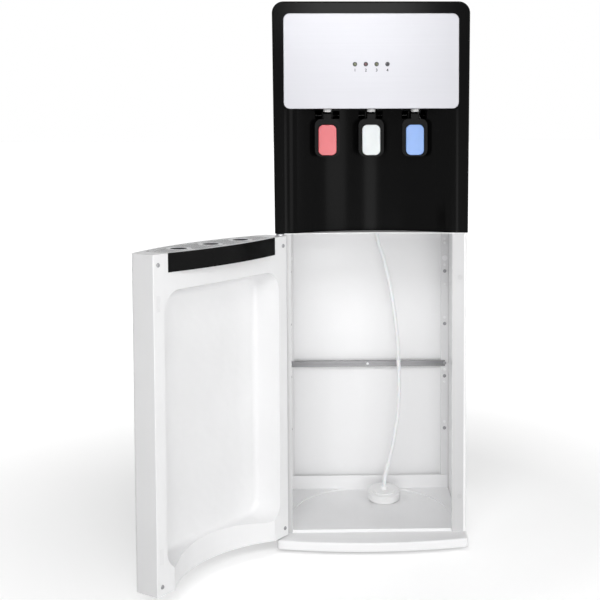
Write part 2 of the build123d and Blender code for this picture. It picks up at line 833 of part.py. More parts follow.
def scoop_plan(offset):
    """Plan of the scoop under the door's inner face, grown by offset."""
    radius = chord_radius(scoop_half_width, scoop_depth)
    centre_y = door_inner - scoop_depth + radius
    keep = make_face(Polyline((-door_half, door_front_y), (door_half, door_front_y), (door_half, door_inner + 1),
                              (-door_half, door_inner + 1), close=True))
    return Pos(0, centre_y) * Circle(radius + offset) & keep


def basin_plan(inset):
    """Plan of the drip basin: bowed towards the recess, parallel to the door's front."""
    half = basin_half_width - inset
    inner = door_inner - inset
    plan = make_face([
        Line((-half, door_front_y), (-half, inner)),
        ThreePointArc((-half, inner), (0, inner + basin_bulge), (half, inner)),
        Line((half, inner), (half, door_front_y)),
        Line((half, door_front_y), (-half, door_front_y)),
    ])
    plan &= door_plan(basin_rim + inset, door_inner + basin_bulge + 10)
    corners = [v for v in plan.vertices() if v.Y < door_edge_y + basin_bulge]
    plan = fillet(corners, 9)
    return fillet([near(plan, -half, inner), near(plan, half, inner)], 5)


def screw_places():
    x = door_half - door_screw_inset
    return [(sx * x, z) for sx in (-1, 1) for z in (door_bottom + door_screw_bottom, door_top - door_screw_top)]


def door_shell():
    """Outer shell: bowed front, sides, top and bottom, open towards the liner."""
    seat = door_inner - liner_flange
    body = prism(door_plan(0, seat), door_bottom, door_top)
    body -= prism(door_plan(door_wall, seat + 5), door_bottom + door_wall, door_top - door_wall)
    boss_side = door_half - door_wall + 0.5
    boss_back = seat - screw_length - 3
    for x, z in screw_places():
        x0 = min(x * 0.955, math.copysign(boss_side, x))
        x1 = max(x * 0.955, math.copysign(boss_side, x))
        if z < (door_bottom + door_top) / 2:
            body += block(x0, x1, boss_back, seat, door_bottom + 1, z + 6)
        else:
            body += block(x0, x1, boss_back, seat, z - 6, door_top - 1)
        body -= rod_y(x, boss_back - 1, seat + 1, z, screw_shank + hinge_fit)
    x = door_half - door_screw_inset
    for z in magnet_z:
        half = magnet_length / 2 + 3
        body += block(x - magnet_width / 2 - 2, boss_side, seat - magnet_thickness - 2, seat, z - half, z + half)
        body -= magnet(z, 0.05)
    body -= prism(basin_plan(-basin_gap), basin_bottom + 5, door_top + 1)
    body -= prism(scoop_plan(liner_wall + 0.1), door_bottom - 1, door_bottom + door_wall + 1)
    for z0, z1 in bush_spans():
        body -= column(hinge_x, hinge_y, z0 - 0.01, z1 + 0.01, hinge_bush + hinge_fit)
    return body


def bush_spans():
    """Heights of the lower and the upper hinge bush."""
    return [(door_bottom, door_bottom + hinge_bush_length), (door_top - hinge_bush_length, door_top)]


def hinge_bushes():
    bushes = []
    for z0, z1 in bush_spans():
        bush = column(hinge_x, hinge_y, z0, z1, hinge_bush)
        bushes.append(bush - column(hinge_x, hinge_y, z0 - 1, z1 + 1, hinge_pin + running_gap))
    return bushes


def pocket(grow, y0):
    """The liner's bottle pocket as a drafted block going forward from y0."""
    width = pocket_width + 2 * grow
    height = pocket_top - pocket_bottom + 2 * grow
    outline = Pos(0, (pocket_top + pocket_bottom) / 2) * RectangleRounded(width, height, pocket_radius + grow)
    depth = pocket_depth + door_inner * -1 + grow + y0
    body = Pos(0, y0, 0) * extrude(Plane.XZ * outline, amount=depth, taper=pocket_draft)
    return fillet(body.faces().sort_by(Axis.Y)[0].edges(), pocket_floor_radius + grow)


def door_liner():
    """Inner face of the door, with the bottle pocket and the scoop at its foot."""
    seat = door_inner - liner_flange
    body = block(-door_half, door_half, seat, door_inner, door_bottom, door_top)
    body = fillet([e for e in body.edges().filter_by(Axis.Z) if e.center().Y > seat + liner_flange / 2], liner_edge)
    body += pocket(liner_wall, door_inner)
    scoop_top = pocket_bottom + 18
    body += prism(scoop_plan(liner_wall), door_bottom, scoop_top) & block(
        -door_half, door_half, door_front_y, door_inner, door_bottom, scoop_top)
    body -= pocket(0, door_inner + 0.01)
    body -= prism(scoop_plan(0), door_bottom - 1, scoop_top)
    body -= prism(basin_plan(-basin_gap), basin_bottom - basin_gap, door_top + 1)
    for x, z in screw_places():
        body -= rod_y(x, seat - 1, door_inner + 1, z, screw_shank + 0.1)
    for z in magnet_z:
        body -= magnet(z, 0.05)
    return body


def magnet(z, grow):
    x = door_half - door_screw_inset
    half = magnet_length / 2 + grow
    back = door_inner - 0.2
    return block(x - magnet_width / 2 - grow, x + magnet_width / 2 + grow,
                 back - magnet_thickness - liner_flange - grow, back + grow * 10, z - half, z + half)


def door_magnets():
    return [magnet(z, 0) for z in magnet_z]


def door_screws():
    """Screws from the liner's face into the shell's bosses."""
    screws = []
    for x, z in screw_places():
        screw = screw_to_back(0, 0, 0, screw_length)
        screws.append(Pos(x, door_inner, z) * Rot(0, 0, 180) * screw)
    return screws


def drip_basin():
    """Black tub under the grille, with a ledge for it."""
    body = prism(basin_plan(0), basin_bottom, door_top)
    ledge = door_top - grille_thickness
    body -= prism(basin_plan(basin_ledge), basin_bottom + basin_wall, ledge + 1)
    return body - prism(basin_plan(basin_wall), ledge, door_top + 1)


def drip_grille():
    """Lift-out grille: long slots, three cup rings and the ribs that carry them."""
    inset = basin_wall + basin_gap
    plate = prism(basin_plan(inset), door_top - grille_thickness, door_top)
    field = basin_plan(inset + grille_rim)
    cup_y = door_inner - cup_from_inner
    for x in tap_places:
        field -= Pos(x, cup_y) * Circle(cup_ring)
        field -= Pos(x, cup_y) * Rectangle(cup_rib, 3 * door_edge)
    rows = int((door_edge + door_bulge + basin_bulge) / grille_slot_pitch)
    start = door_inner + basin_bulge - grille_slot_pitch
    stripes = [Pos(0, start - i * grille_slot_pitch) * Rectangle(2 * door_half, grille_slot) for i in range(rows)]
    for stripe in stripes:
        opening = stripe & field
        plate -= prism(opening, door_top - grille_thickness - 1, door_top + 1)
    for x in tap_places:
        plate -= column(x, cup_y, door_top - grille_thickness - 1, door_top + 1, cup_hole)
    return plate


# ---------------------------------------------------------------- hinges
def hinge_upper():
    """Plate under the head with the pin that hangs into the door's top."""
    x0 = hinge_x - hinge_side + 1
    x1 = hinge_x + hinge_plate_width / 2
    plate = block(x0, x1, hinge_y - 6, jamb_return + 4, shelf_bottom, fascia_bottom)
    corners = [e for e in plate.edges().filter_by(Axis.Z) if e.center().Y < 0]
    plate = fillet(corners, 5)
    return plate + column(hinge_x, hinge_y, door_top - hinge_bush_length + 1, shelf_bottom, hinge_pin)


def hinge_lower():
    """Pin that stands in the plinth, with a washer under the door."""
    collar_top = door_bottom - 0.3
    pin = column(hinge_x, hinge_y, plinth_top - 2, door_bottom + hinge_bush_length - 1, hinge_pin)
    return pin + column(hinge_x, hinge_y, plinth_top, collar_top, hinge_bush - 0.5)


# ---------------------------------------------------------------- cooling and heating
def vessel(radius, length, wall):
    """Closed tank with rounded ends and one vent bore in its top."""
    body = Pos(0, 0, length / 2) * Cylinder(radius, length)
    body = fillet(body.edges().filter_by(GeomType.CIRCLE), radius * 0.25)
    core = Pos(0, 0, length / 2) * Cylinder(radius - wall, length - 2 * wall)
    core = fillet(core.edges().filter_by(GeomType.CIRCLE), radius * 0.25 - wall * 0.8)
    return body - core - Pos(0, 0, length) * Cylinder(vent_radius, 4 * wall + 8)


def tank_shelf():
    """Plate across the head that carries the cold tank, flanged down at its ends."""
    edge = inner_half - 0.1
    y0 = cold_y - cold_radius - foam_thickness - 6
    y1 = back_y - sheet - 2
    top = tank_shelf_z
    plate = block(-edge, edge, y0, y1, top - sheet, top)
    for x0, x1 in ((-edge, -edge + sheet), (edge - sheet, edge)):
        plate += block(x0, x1, y0, y1, top - tank_shelf_flange, top)
    return plate - column(coil_riser, coil_y, top - sheet - 1, top + 1, 2 * gas_radius)


def cold_tank():
    return Pos(0, cold_y, tank_shelf_z + foam_thickness) * vessel(cold_radius, cold_length, tank_wall)


def cold_tank_insulation():
    """Foam jacket, open at the top where the tank drops in."""
    gap = 0.3
    z0 = tank_shelf_z
    body = column(0, cold_y, z0, z0 + foam_thickness + cold_length * 0.9, cold_radius + foam_thickness)
    body = fillet(body.faces().sort_by(Axis.Z)[-1].edges(), 6)
    room = Pos(0, cold_y, z0 + foam_thickness) * Cylinder(cold_radius + gap, 2 * cold_length,
                                                         align=(Align.CENTER, Align.CENTER, Align.MIN))
    return body - room


def hot_tank():
    """Heated tank on three legs."""
    tank = Pos(hot_x, hot_y, fascia_bottom + hot_leg) * vessel(hot_radius, hot_length, tank_wall)
    for i in range(3):
        angle = math.radians(90 + 120 * i)
        x = hot_x + hot_radius * 0.66 * math.cos(angle)
        y = hot_y + hot_radius * 0.66 * math.sin(angle)
        tank += column(x, y, fascia_bottom, fascia_bottom + hot_leg + tank_wall, 4)
    return tank


def compressor():
    """Hermetic compressor: a can on a foot plate with four lugs."""
    z0 = fascia_bottom + grommet_height
    body = Pos(compressor_x, compressor_y, z0) * vessel(compressor_radius, compressor_length, compressor_wall)
    span = grommet_spread + grommet_radius
    plate = Pos(compressor_x, compressor_y, z0 + 1.5) * Box(2 * span, 2 * span, 3)
    plate -= column(compressor_x, compressor_y, z0 - 1, z0 + 4, compressor_radius - compressor_wall * 2)
    body += plate
    for x, y in grommet_places():
        body -= column(x, y, z0 - 1, z0 + 4, 3.2)
    return body


def grommet_places():
    span = grommet_spread
    return [(compressor_x + sx * span, compressor_y + sy * span) for sx in (-1, 1) for sy in (-1, 1)]


def compressor_grommets():
    grommets = []
    for x, y in grommet_places():
        body = column(x, y, fascia_bottom, fascia_bottom + grommet_height, grommet_radius)
        grommets.append(body + column(x, y, fascia_bottom, fascia_bottom + grommet_height + 5, 3))
    return grommets


def water_pump():
    """Diaphragm pump: motor and head on two rubber feet."""
    z = fascia_bottom + pump_feet + pump_height / 2
    motor = rod_x(pump_x - 4, pump_x + pump_length / 2 + 10, pump_y, z, pump_width / 2)
    motor = fillet(motor.faces().sort_by(Axis.X)[-1].edges(), 3)
    head = block(pump_x - pump_length / 2 - 6, pump_x - 4, pump_y - pump_width / 2, pump_y + pump_width / 2,
                 z - pump_height / 2, z + pump_height / 2)
    body = motor + fillet(head.edges().filter_by(Axis.X), 4)
    for x in (pump_x - pump_length / 4, pump_x + pump_length / 4):
        body += block(x - 5, x + 5, pump_y - pump_width / 2, pump_y + pump_width / 2, fascia_bottom, z - pump_height / 4)
    return body


# ---------------------------------------------------------------- back of the cabinet
def switch_centres():
    return [(x, switch_z) for x in switch_x]


def rear_cover():
    """Louvred sheet over the back of the head."""
    half = half_width - 2
    cover = block(-half, half, back_y, cabinet_depth, fascia_bottom + 2, cover_bottom - 0.5)
    for i in range(louvre_columns):
        x = (i - (louvre_columns - 1) / 2) * louvre_pitch_x
        for j in range(louvre_rows):
            z = louvre_bottom + j * louvre_pitch_z
            slot = Pos(x, z) * SlotOverall(louvre_width, louvre_height)
            cover -= front_prism(slot, back_y - 1, cabinet_depth + 1)
    for x, z in switch_centres():
        w = rocker_width / 2 + rocker_gap_side + switch_wall + 0.1
        h = rocker_height / 2 + rocker_gap_end + switch_wall + 0.1
        cover -= block(x - w, x + w, back_y - 1, cabinet_depth + 1, z - h, z + h)
    cover -= rod_y(drain_x, back_y - 1, cabinet_depth + 1, drain_z, drain_pipe + 0.1)
    return cover - rod_y(inlet_x, back_y - 1, cabinet_depth + 1, inlet_z, inlet_radius - 1.9)


def cover_screws():
    half = half_width - 2 - 6
    places = [(sx * half, z) for sx in (-1, 1) for z in (fascia_bottom + 14, (fascia_bottom + cover_bottom) / 2, cover_bottom - 14)]
    screws = []
    for x, z in places:
        head = rod_y(x, cabinet_depth, cabinet_depth + screw_head_height, z, screw_head)
        head = fillet(head.faces().sort_by(Axis.Y)[-1].edges(), screw_head_height * 0.6)
        screws.append(head)
    return screws


def switch_housing():
    """Bezels and boxes of the two rear switches."""
    housings = []
    for x, z in switch_centres():
        w = rocker_width / 2 + rocker_gap_side
        h = rocker_height / 2 + rocker_gap_end
        body = block(x - w - 4, x + w + 4, cabinet_depth, cabinet_depth + 1.5, z - h - 4, z + h + 4)
        body += block(x - w - switch_wall, x + w + switch_wall, cabinet_depth - switch_depth, cabinet_depth + 0.5,
                      z - h - switch_wall, z + h + switch_wall)
        body -= block(x - w, x + w, cabinet_depth - switch_depth + switch_wall, cabinet_depth + 2, z - h, z + h)
        pin_y = cabinet_depth - 2.5
        reach = w + switch_wall
        body -= rod_x(x - reach - 1, x + reach + 1, pin_y, z, rocker_pin + running_gap)
        housings.append(body)
    return housings


def rocker(x, z):
    """Rocker key on two stub pins, tipped to one side."""
    pin_y = cabinet_depth - 2.5
    half = rocker_width / 2
    profile = make_face(Polyline(
        (-rocker_height / 2 + 0.8, -rocker_depth + 4),
        (rocker_height / 2 - 0.8, -rocker_depth + 4),
        (rocker_height / 2, 5.2),
        (0, 2.6),
        (-rocker_height / 2, 5.2),
        close=True,
    ))
    body = Plane(origin=(-half, 0, 0), x_dir=(0, 0, 1), z_dir=(-1, 0, 0)) * profile
    body = extrude(body, amount=-rocker_width)
    body += rod_x(-half - 0.4 - switch_wall, half + 0.4 + switch_wall, 0, 0, rocker_pin)
    return Pos(x, pin_y, z) * Rot(-rocker_angle, 0, 0) * body


def drain_pipe_body():
    """Drain port of the hot tank, through the rear cover."""
    y0 = hot_y + math.sqrt(hot_radius ** 2 - (drain_x - hot_x) ** 2) - 0.3
    pipe = rod_y(drain_x, y0 + 0.6, cabinet_depth + drain_proud, drain_z, drain_pipe)
    return pipe - rod_y(drain_x, y0 + 4, cabinet_depth + drain_proud + 1, drain_z, drain_bore)


def drain_plug():
    """Ribbed plug in the drain port."""
    y0 = cabinet_depth + drain_proud
    body = rod_y(drain_x, y0, y0 + plug_length, drain_z, plug_radius)
    body = chamfer(body.faces().sort_by(Axis.Y)[-1].edges(), 1)
    for i in range(12):
        angle = math.radians(30 * i)
        x = drain_x + plug_radius * math.cos(angle)
        z = drain_z + plug_radius * math.sin(angle)
        body -= rod_y(x, y0 + 2, y0 + plug_length + 1, z, 1.2)
    return body + rod_y(drain_x, y0 - plug_stem, y0 + 1, drain_z, drain_bore - running_gap)


def power_inlet():
    """Strain-relief bush in the rear cover; the mains cord itself is left out."""
    y1 = cabinet_depth + inlet_length - 6
    body = rod_y(inlet_x, cabinet_depth, cabinet_depth + 3, inlet_z, inlet_radius)
    body += rod_y(inlet_x, cabinet_depth - 6, y1, inlet_z, inlet_radius - 2)
    body = fillet(body.faces().sort_by(Axis.Y)[-1].edges(), 1)
    return body - rod_y(inlet_x, cabinet_depth - 7, y1 + 1, inlet_z, inlet_bore)


def condenser_coil():
    """Serpentine tube behind the bay."""
    points = [(-coil_half_width, coil_y, coil_top)]
    side = 1
    for i in range(coil_rows - 1):
        z = coil_top - i * coil_pitch
        points += [(side * coil_half_width, coil_y, z), (side * coil_half_width, coil_y, z - coil_pitch)]
        side = -side
    points += [(side * coil_half_width, coil_y, coil_bottom)]
    return bent_tube(points, coil_radius, coil_bend)


def condenser_wires():
    """Upright wires welded to the front and the back of the coil."""
    offset = coil_radius + wire_radius + weld_gap
    low = coil_bottom - 12
    high = coil_top + 12
    wires = []
    for i in range(wire_count):
        x = (i - (wire_count - 1) / 2) * wire_pitch
        for y in (coil_y - offset, coil_y + offset):
            wires.append(column(x, y, low, high, wire_radius))
    return wires


def condenser_brackets():
    """Flat bars behind the wires, footed on the side panels' rear flanges."""
    y0 = coil_y + coil_radius + 2 * wire_radius + 0.1
    foot_y = back_y - sheet
    riser = half_width - rear_flange - 10
    bars = []
    for z in bracket_z:
        low = z - bracket_height / 2
        high = z + bracket_height / 2
        bar = block(-riser, riser, y0, y0 + sheet, low, high)
        for side in (-1, 1):
            x0 = min(side * riser, side * (riser - sheet))
            bar += block(x0, x0 + sheet, y0, foot_y, low, high)
            f0 = min(side * (riser - sheet), side * (riser + bracket_foot))
            bar += block(f0, f0 + bracket_foot + sheet, foot_y - sheet, foot_y, low, high)
        bars.append(bar)
    return bars


# ---------------------------------------------------------------- water lines
def bent_tube(points, radius, bend):
    """Bent tube with square ends."""
    path = FilletPolyline(*points, radius=bend)
    section = Plane(origin=path @ 0, z_dir=path % 0) * Circle(radius)
    return sweep(section, path=path)


def water_lines():
    """Gland to pump, pump to cold tank, and both tanks to the taps."""
    pump_top = fascia_bottom + pump_feet + pump_height
    pump_middle = fascia_bottom + pump_feet + pump_height / 2
    pump_front = pump_x - pump_length / 2 - 6
    cold_top = tank_shelf_z + foam_thickness + cold_length
    hot_top = fascia_bottom + hot_leg + hot_length
    valve_top = ceiling_top + valve_height + 10
    valve_y = lever_pivot_y - 7
    high = cold_top + line_rise
    front_y = cold_y - cold_radius - foam_thickness - line_front_gap
    side_x = -1.4 * tap_pitch
    gland_line = [
        (gland_x, gland_y, fascia_bottom + 8),
        (gland_x, gland_y, pump_middle),
        (gland_x, pump_y, pump_middle),
        (pump_front, pump_y, pump_middle),
    ]
    pump_line = [
        (pump_front + 12, pump_y, pump_top),
        (pump_front + 12, pump_y, pump_top + 3 * line_rise),
        (side_x, front_y, pump_top + 3 * line_rise),
        (side_x, front_y, high),
        (-40, cold_y - 20, high),
        (-40, cold_y - 20, cold_top),
    ]
    room_line = [
        (0, valve_y, valve_top),
        (0, valve_y, high),
        (0, cold_y - 50, high),
        (0, cold_y - 50, cold_top),
    ]
    cold_line = [
        (tap_pitch, valve_y, valve_top),
        (tap_pitch, valve_y, high),
        (30, cold_y - 40, high),
        (30, cold_y - 40, cold_top),
    ]
    hot_line = [
        (hot_x, hot_y, hot_top),
        (hot_x, hot_y, hot_top + line_rise),
        (hot_x, front_y, hot_top + line_rise),
        (hot_x, front_y, valve_top + 2 * line_rise),
        (-tap_pitch, front_y, valve_top + 2 * line_rise),
        (-tap_pitch, valve_y, valve_top + 2 * line_rise),
        (-tap_pitch, valve_y, valve_top),
    ]
    routes = (gland_line, pump_line, room_line, cold_line, hot_line)
    return [bent_tube(route, line_radius, line_bend) for route in routes]


def gas_lines():
    """Compressor to the condenser's top row, and its bottom row up to the cold tank."""
    compressor_top = fascia_bottom + grommet_height + compressor_length
    cold_top = tank_shelf_z + foam_thickness + cold_length
    discharge = [
        (-coil_half_width, coil_y, coil_top),
        (-coil_riser, coil_y, coil_top),
        (-coil_riser, coil_y, compressor_top + line_rise),
        (compressor_x, compressor_y, compressor_top + line_rise),
        (compressor_x, compressor_y, compressor_top),
    ]
    suction = [
        (coil_half_width, coil_y, coil_bottom),
        (coil_riser, coil_y, coil_bottom),
        (coil_riser, coil_y, cold_top + line_rise),
        (30, cold_y + 30, cold_top + line_rise),
        (30, cold_y + 30, cold_top),
    ]
    return [bent_tube(route, gas_radius, line_bend) for route in (discharge, suction)]


# ---------------------------------------------------------------- write everything
def write_parts():
    os.makedirs("parts", exist_ok=True)
    save("base_plinth", base_plinth())
    save("rubber_feet", rubber_feet())
    right, left = both_sides(side_panel())
    save("side_panel_right", right)
    save("side_panel_left", left)
    save("bay_rear_wall", bay_rear_wall())
    save("bay_shelf", bay_shelf())
    save("rear_posts", both_sides(rear_post()))
    save("cabinet_screws", post_screws() + cover_screws())
    save("brace_bar", brace_bar())
    save("bottle_tray", bottle_tray())
    save("strike_plates", strike_plates())
    save("top_cover", top_cover())
    save("hose_gland", hose_gland())
    save("suction_hose", suction_hose())
    save("bottle_cap", bottle_cap())
    save("front_fascia", front_fascia())
    save("control_panel", control_panel())
    save("control_board", control_board())
    for name, x in zip(("power", "heating", "cooling", "empty"), lamp_places()):
        save("lamp_" + name, lamp(x))
    for name, x in zip(("hot", "room", "cold"), tap_places):
        save("lever_" + name, lever(x))
        save("pad_" + name, pad(x))
    save("spouts", [spout(x) for x in tap_places])
    save("tap_valves", [tap_valve(x) for x in tap_places])
    save("lever_pins", lever_pins())
    save("lever_springs", lever_springs())
    save("door_shell", swing(door_shell()))
    save("door_liner", swing(door_liner()))
    save("door_screws", [swing(s) for s in door_screws()])
    save("door_magnets", [swing(m) for m in door_magnets()])
    save("hinge_bushes", [swing(b) for b in hinge_bushes()])
    save("drip_basin", swing(drip_basin()))
    save("drip_grille", swing(drip_grille()))
    save("hinge_upper", hinge_upper())
    save("hinge_lower", hinge_lower())
    save("tank_shelf", tank_shelf())
    save("cold_tank", cold_tank())
    save("cold_tank_insulation", cold_tank_insulation())
    save("hot_tank", hot_tank())
    save("compressor", compressor())
    save("compressor_grommets", compressor_grommets())
    save("water_pump", water_pump())
    save("water_lines", water_lines())
    save("gas_lines", gas_lines())
    save("rear_cover", rear_cover())
    save("switch_housing", switch_housing())
    for name, place in zip(("hot", "cold"), switch_centres()):
        save("rocker_" + name, rocker(*place))
    save("drain_pipe", drain_pipe_body())
    save("drain_plug", drain_plug())
    save("power_inlet", power_inlet())
    save("condenser_coil", condenser_coil())
    save("condenser_wires", condenser_wires())
    save("condenser_brackets", condenser_brackets())


if __name__ == "__main__":
    write_parts()
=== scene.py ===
import math

import bmesh
import bpy
from bpy.props import FloatProperty, FloatVectorProperty, IntProperty, PointerProperty
from mathutils import Matrix, Vector


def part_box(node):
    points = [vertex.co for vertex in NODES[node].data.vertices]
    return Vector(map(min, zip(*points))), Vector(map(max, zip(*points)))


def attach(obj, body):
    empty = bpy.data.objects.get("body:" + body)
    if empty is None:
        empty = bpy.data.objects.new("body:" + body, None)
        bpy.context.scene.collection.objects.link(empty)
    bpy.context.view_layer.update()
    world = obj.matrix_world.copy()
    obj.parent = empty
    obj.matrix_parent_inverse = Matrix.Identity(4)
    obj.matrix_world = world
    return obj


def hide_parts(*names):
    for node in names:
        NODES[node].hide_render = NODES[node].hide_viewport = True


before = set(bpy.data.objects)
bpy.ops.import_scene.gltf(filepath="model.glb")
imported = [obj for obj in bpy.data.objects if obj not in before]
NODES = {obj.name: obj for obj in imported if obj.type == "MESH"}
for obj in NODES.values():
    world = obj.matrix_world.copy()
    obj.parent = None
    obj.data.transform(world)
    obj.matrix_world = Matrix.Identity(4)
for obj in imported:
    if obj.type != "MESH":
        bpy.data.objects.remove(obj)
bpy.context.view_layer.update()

bl_info = {
    "name": "Bottom-load Water Cooler",
    "version": (1, 0, 0),
    "blender": (4, 5, 0),
    "location": "3D View > Sidebar > Water Cooler",
    "description": "Finishes, suction hose, plugs, lamp rings and numbers, louvre hoods and studio",
    "category": "Object",
}

MM = 0.001

# sockets of a Mix node for colours
MIX_FIRST, MIX_SECOND, MIX_RESULT = 6, 7, 2

# the middle of a noise's range, which an effect spreads over its whole scale
NOISE_LOW, NOISE_HIGH = 0.3, 0.7

# the row of lamps as the solids have it: offset and pitch in millimetres, height in metres
LAMP_COUNT = 4
LAMP_OFFSET, LAMP_PITCH = -0.3, 19.6
LAMP_X = tuple((LAMP_OFFSET + (i - (LAMP_COUNT - 1) / 2) * LAMP_PITCH) * MM for i in range(LAMP_COUNT))
LAMP_Z = 0.887

# rings and numbers at the lamps, in metres
RING_INNER = 0.0029
RING_SEAT, RING_PROUD = 0.0002, 0.0003
RING_EASE = 0.3                 # share of a ring's width that its edge eases
NUMERAL_DROP = 0.011            # from a lamp's centre to its number's
NUMERAL_DEPTH = 0.00012
FONT_SIZE = 1.4                 # font size for a figure's height of one
STROKE_GAIN = 0.03              # how far a stroke's outline moves out, as a share of the height

# louvres as the solids have them, in metres
LOUVRE_COLUMNS, LOUVRE_ROWS = 3, 9
LOUVRE_PITCH_X, LOUVRE_PITCH_Z = 0.084, 0.016
LOUVRE_BOTTOM = 0.790
LOUVRE_WIDTH = 0.062

# hoods and the dark sheet behind the louvres in metres: guessed, because the photograph doesn't show the
# back; the sheet is painted shade that keeps light out of the tap windows
HOOD_TOP, HOOD_FOOT = 0.0034, 0.0006    # over and under a louvre's centre
SHADE_SHEET_SIZE = (0.246, 0.150)
SHADE_SHEET_HEIGHT = 0.857
SHADE_SHEET_DEPTH = 0.0018
SHADE_SHEET_THICKNESS = 0.0005

# plugs in metres; a post's are on its centre line
POST_CENTRE = 0.0075            # from a post's outer edge
BAR_PLUG_RADIUS = 0.0026
PLUG_FACETS = 20
# a plug's outline: share of its radius, and place along Y from the sheet's face
PLUG_OUTLINE = ((0, 0.0), (1, 0.0), (1, -0.0004), (0.8, -0.0009), (0.4, -0.0012), (0, -0.0013))
# height and radius of each plug on a post
POST_PLUGS = ((0.543, 0.0029), (0.534, 0.0029), (0.503, 0.0056), (0.489, 0.0029), (0.4495, 0.0026),
              (0.3805, 0.0029), (0.272, 0.0029), (0.247, 0.0026), (0.1635, 0.0029))

# how far in metres behind a face the painted light on the side panels' inner faces begins
FACE_MARGIN = 0.0003
# how far in metres below the grille's face the painted shade in its slots starts and is full, and that
# shade's tone
SLOT_SHADE_START, SLOT_SHADE_FULL = 0.0001, 0.0004
SLOT_SHADE_TONE = (0.05, 0.05, 0.052, 1)

# tone of the posts as shares of the lining's
POST_TONE, POST_SECOND_TONE = 0.88, 0.86

# camera and lamps
SENSOR_WIDTH = 36.0
LENS_SHIFT = (-0.1017, -0.1813)
HEAD_CARD_SHARE = 0.8
REAR_LIGHT_SHARE = 2

# the floor glows at this share of white as far as the near distance, and fully from the far one
FLOOR_REACH = 30
GLOW_UNDER = 0.42
GLOW_NEAR, GLOW_FAR = 0.45, 1.6


# ---------------------------------------------------------------- settings
class CoolerHoseSettings(bpy.types.PropertyGroup):
    diameter: FloatProperty(name="Diameter", description="Outside diameter of the suction hose",
                            default=0.008, min=0.004, max=0.016, unit="LENGTH")
    length: FloatProperty(name="Length", description="Length of the hose from the gland to the cap",
                          default=0.5258, min=0.3, max=1.0, unit="LENGTH")
    colour: FloatVectorProperty(name="Colour", description="Milky tint of the hose",
                                default=(0.95, 0.95, 0.955), subtype="COLOR", min=0, max=1)


class CoolerHeadSettings(bpy.types.PropertyGroup):
    gloss_black: FloatVectorProperty(name="Gloss black", description="Colour of the moulded head",
                                     default=(0.0028, 0.0028, 0.0029), subtype="COLOR", min=0, max=1)
    panel: FloatVectorProperty(name="Panel", description="Colour of the brushed control panel",
                               default=(0.40, 0.40, 0.424), subtype="COLOR", min=0, max=1)
    numeral_height: FloatProperty(name="Numeral height",
                                  description="Height of the numbers under the lamps",
                                  default=0.0052, min=0.002, max=0.01, unit="LENGTH")
    bezel_width: FloatProperty(name="Bezel width", description="Width of the ring round each lamp",
                               default=0.0012, min=0.0003, max=0.002, unit="LENGTH")


class CoolerTapSettings(bpy.types.PropertyGroup):
    hot: FloatVectorProperty(name="Hot pad", description="Colour of the hot tap's pad",
                             default=(0.80, 0.115, 0.135), subtype="COLOR", min=0, max=1)
    room: FloatVectorProperty(name="Room pad", description="Colour of the unheated tap's pad",
                              default=(0.80, 0.80, 0.80), subtype="COLOR", min=0, max=1)
    cold: FloatVectorProperty(name="Cold pad", description="Colour of the cold tap's pad",
                              default=(0.23, 0.41, 0.84), subtype="COLOR", min=0, max=1)


class CoolerCabinetSettings(bpy.types.PropertyGroup):
    moulding: FloatVectorProperty(name="Moulding", description="Colour of the white mouldings",
                                  default=(0.88, 0.88, 0.885), subtype="COLOR", min=0, max=1)
    coat: FloatVectorProperty(name="Coat", description="Colour of the coated steel sides",
                              default=(0.64, 0.64, 0.645), subtype="COLOR", min=0, max=1)
    lining: FloatVectorProperty(name="Lining", description="Colour of the bay's lining sheets and tray",
                                default=(0.94, 0.94, 0.945), subtype="COLOR", min=0, max=1)


class CoolerBackSettings(bpy.types.PropertyGroup):
    hood_reach: FloatProperty(name="Hood reach",
                              description="How far a louvre's hood stands off the cover",
                              default=0.0032, min=0.001, max=0.006, unit="LENGTH")
    hood_segments: IntProperty(name="Hood segments", description="Facets round a louvre's hood",
                               default=5, min=3, max=12)


class CoolerStageSettings(bpy.types.PropertyGroup):
    focal_length: FloatProperty(name="Focal length", description="Lens of the camera in millimetres",
                                default=71.58, min=20, max=200)
    eye: FloatVectorProperty(name="Eye", description="Place of the camera",
                             default=(-0.0779, -2.3319, 0.7997), subtype="TRANSLATION")
    turn: FloatProperty(name="Turn", description="Turn of the camera to the right",
                        default=0.02702, subtype="ANGLE")
    tilt: FloatProperty(name="Tilt", description="Downward tilt of the camera",
                        default=0.06584, subtype="ANGLE")
    roll: FloatProperty(name="Roll", description="Roll of the camera about its axis",
                        default=-0.00269, subtype="ANGLE")
    high_power: FloatProperty(name="High front power",
                              description="Watts of the wide light above the camera",
                              default=31.0, min=0, max=500)
    key_power: FloatProperty(name="Key power", description="Watts of the soft light at the upper left",
                             default=17.0, min=0, max=500)
    low_power: FloatProperty(name="Low front power",
                             description="Watts of the low light that reaches into the bay",
                             default=8.0, min=0, max=500)
    right_power: FloatProperty(name="Right power",
                               description="Watts of the light on the open door's liner",
                               default=27.0, min=0, max=500)
    side_power: FloatProperty(name="Side power",
                              description="Watts of the level light at the front right",
                              default=11.0, min=0, max=500)
    card_power: FloatProperty(name="Card power",
                              description="Watts of each small card that the gloss head mirrors",
                              default=5.0, min=0, max=500)
    top_power: FloatProperty(name="Top power", description="Watts of the overhead and of the rear light",
                             default=5.0, min=0, max=500)
    ambient: FloatProperty(name="Ambient",
                           description="Strength of the white surroundings as a source of light",
                           default=0.08, min=0, max=1)
    floor: FloatVectorProperty(name="Floor", description="Colour of the studio floor",
                               default=(0.88, 0.88, 0.88), subtype="COLOR", min=0, max=1)


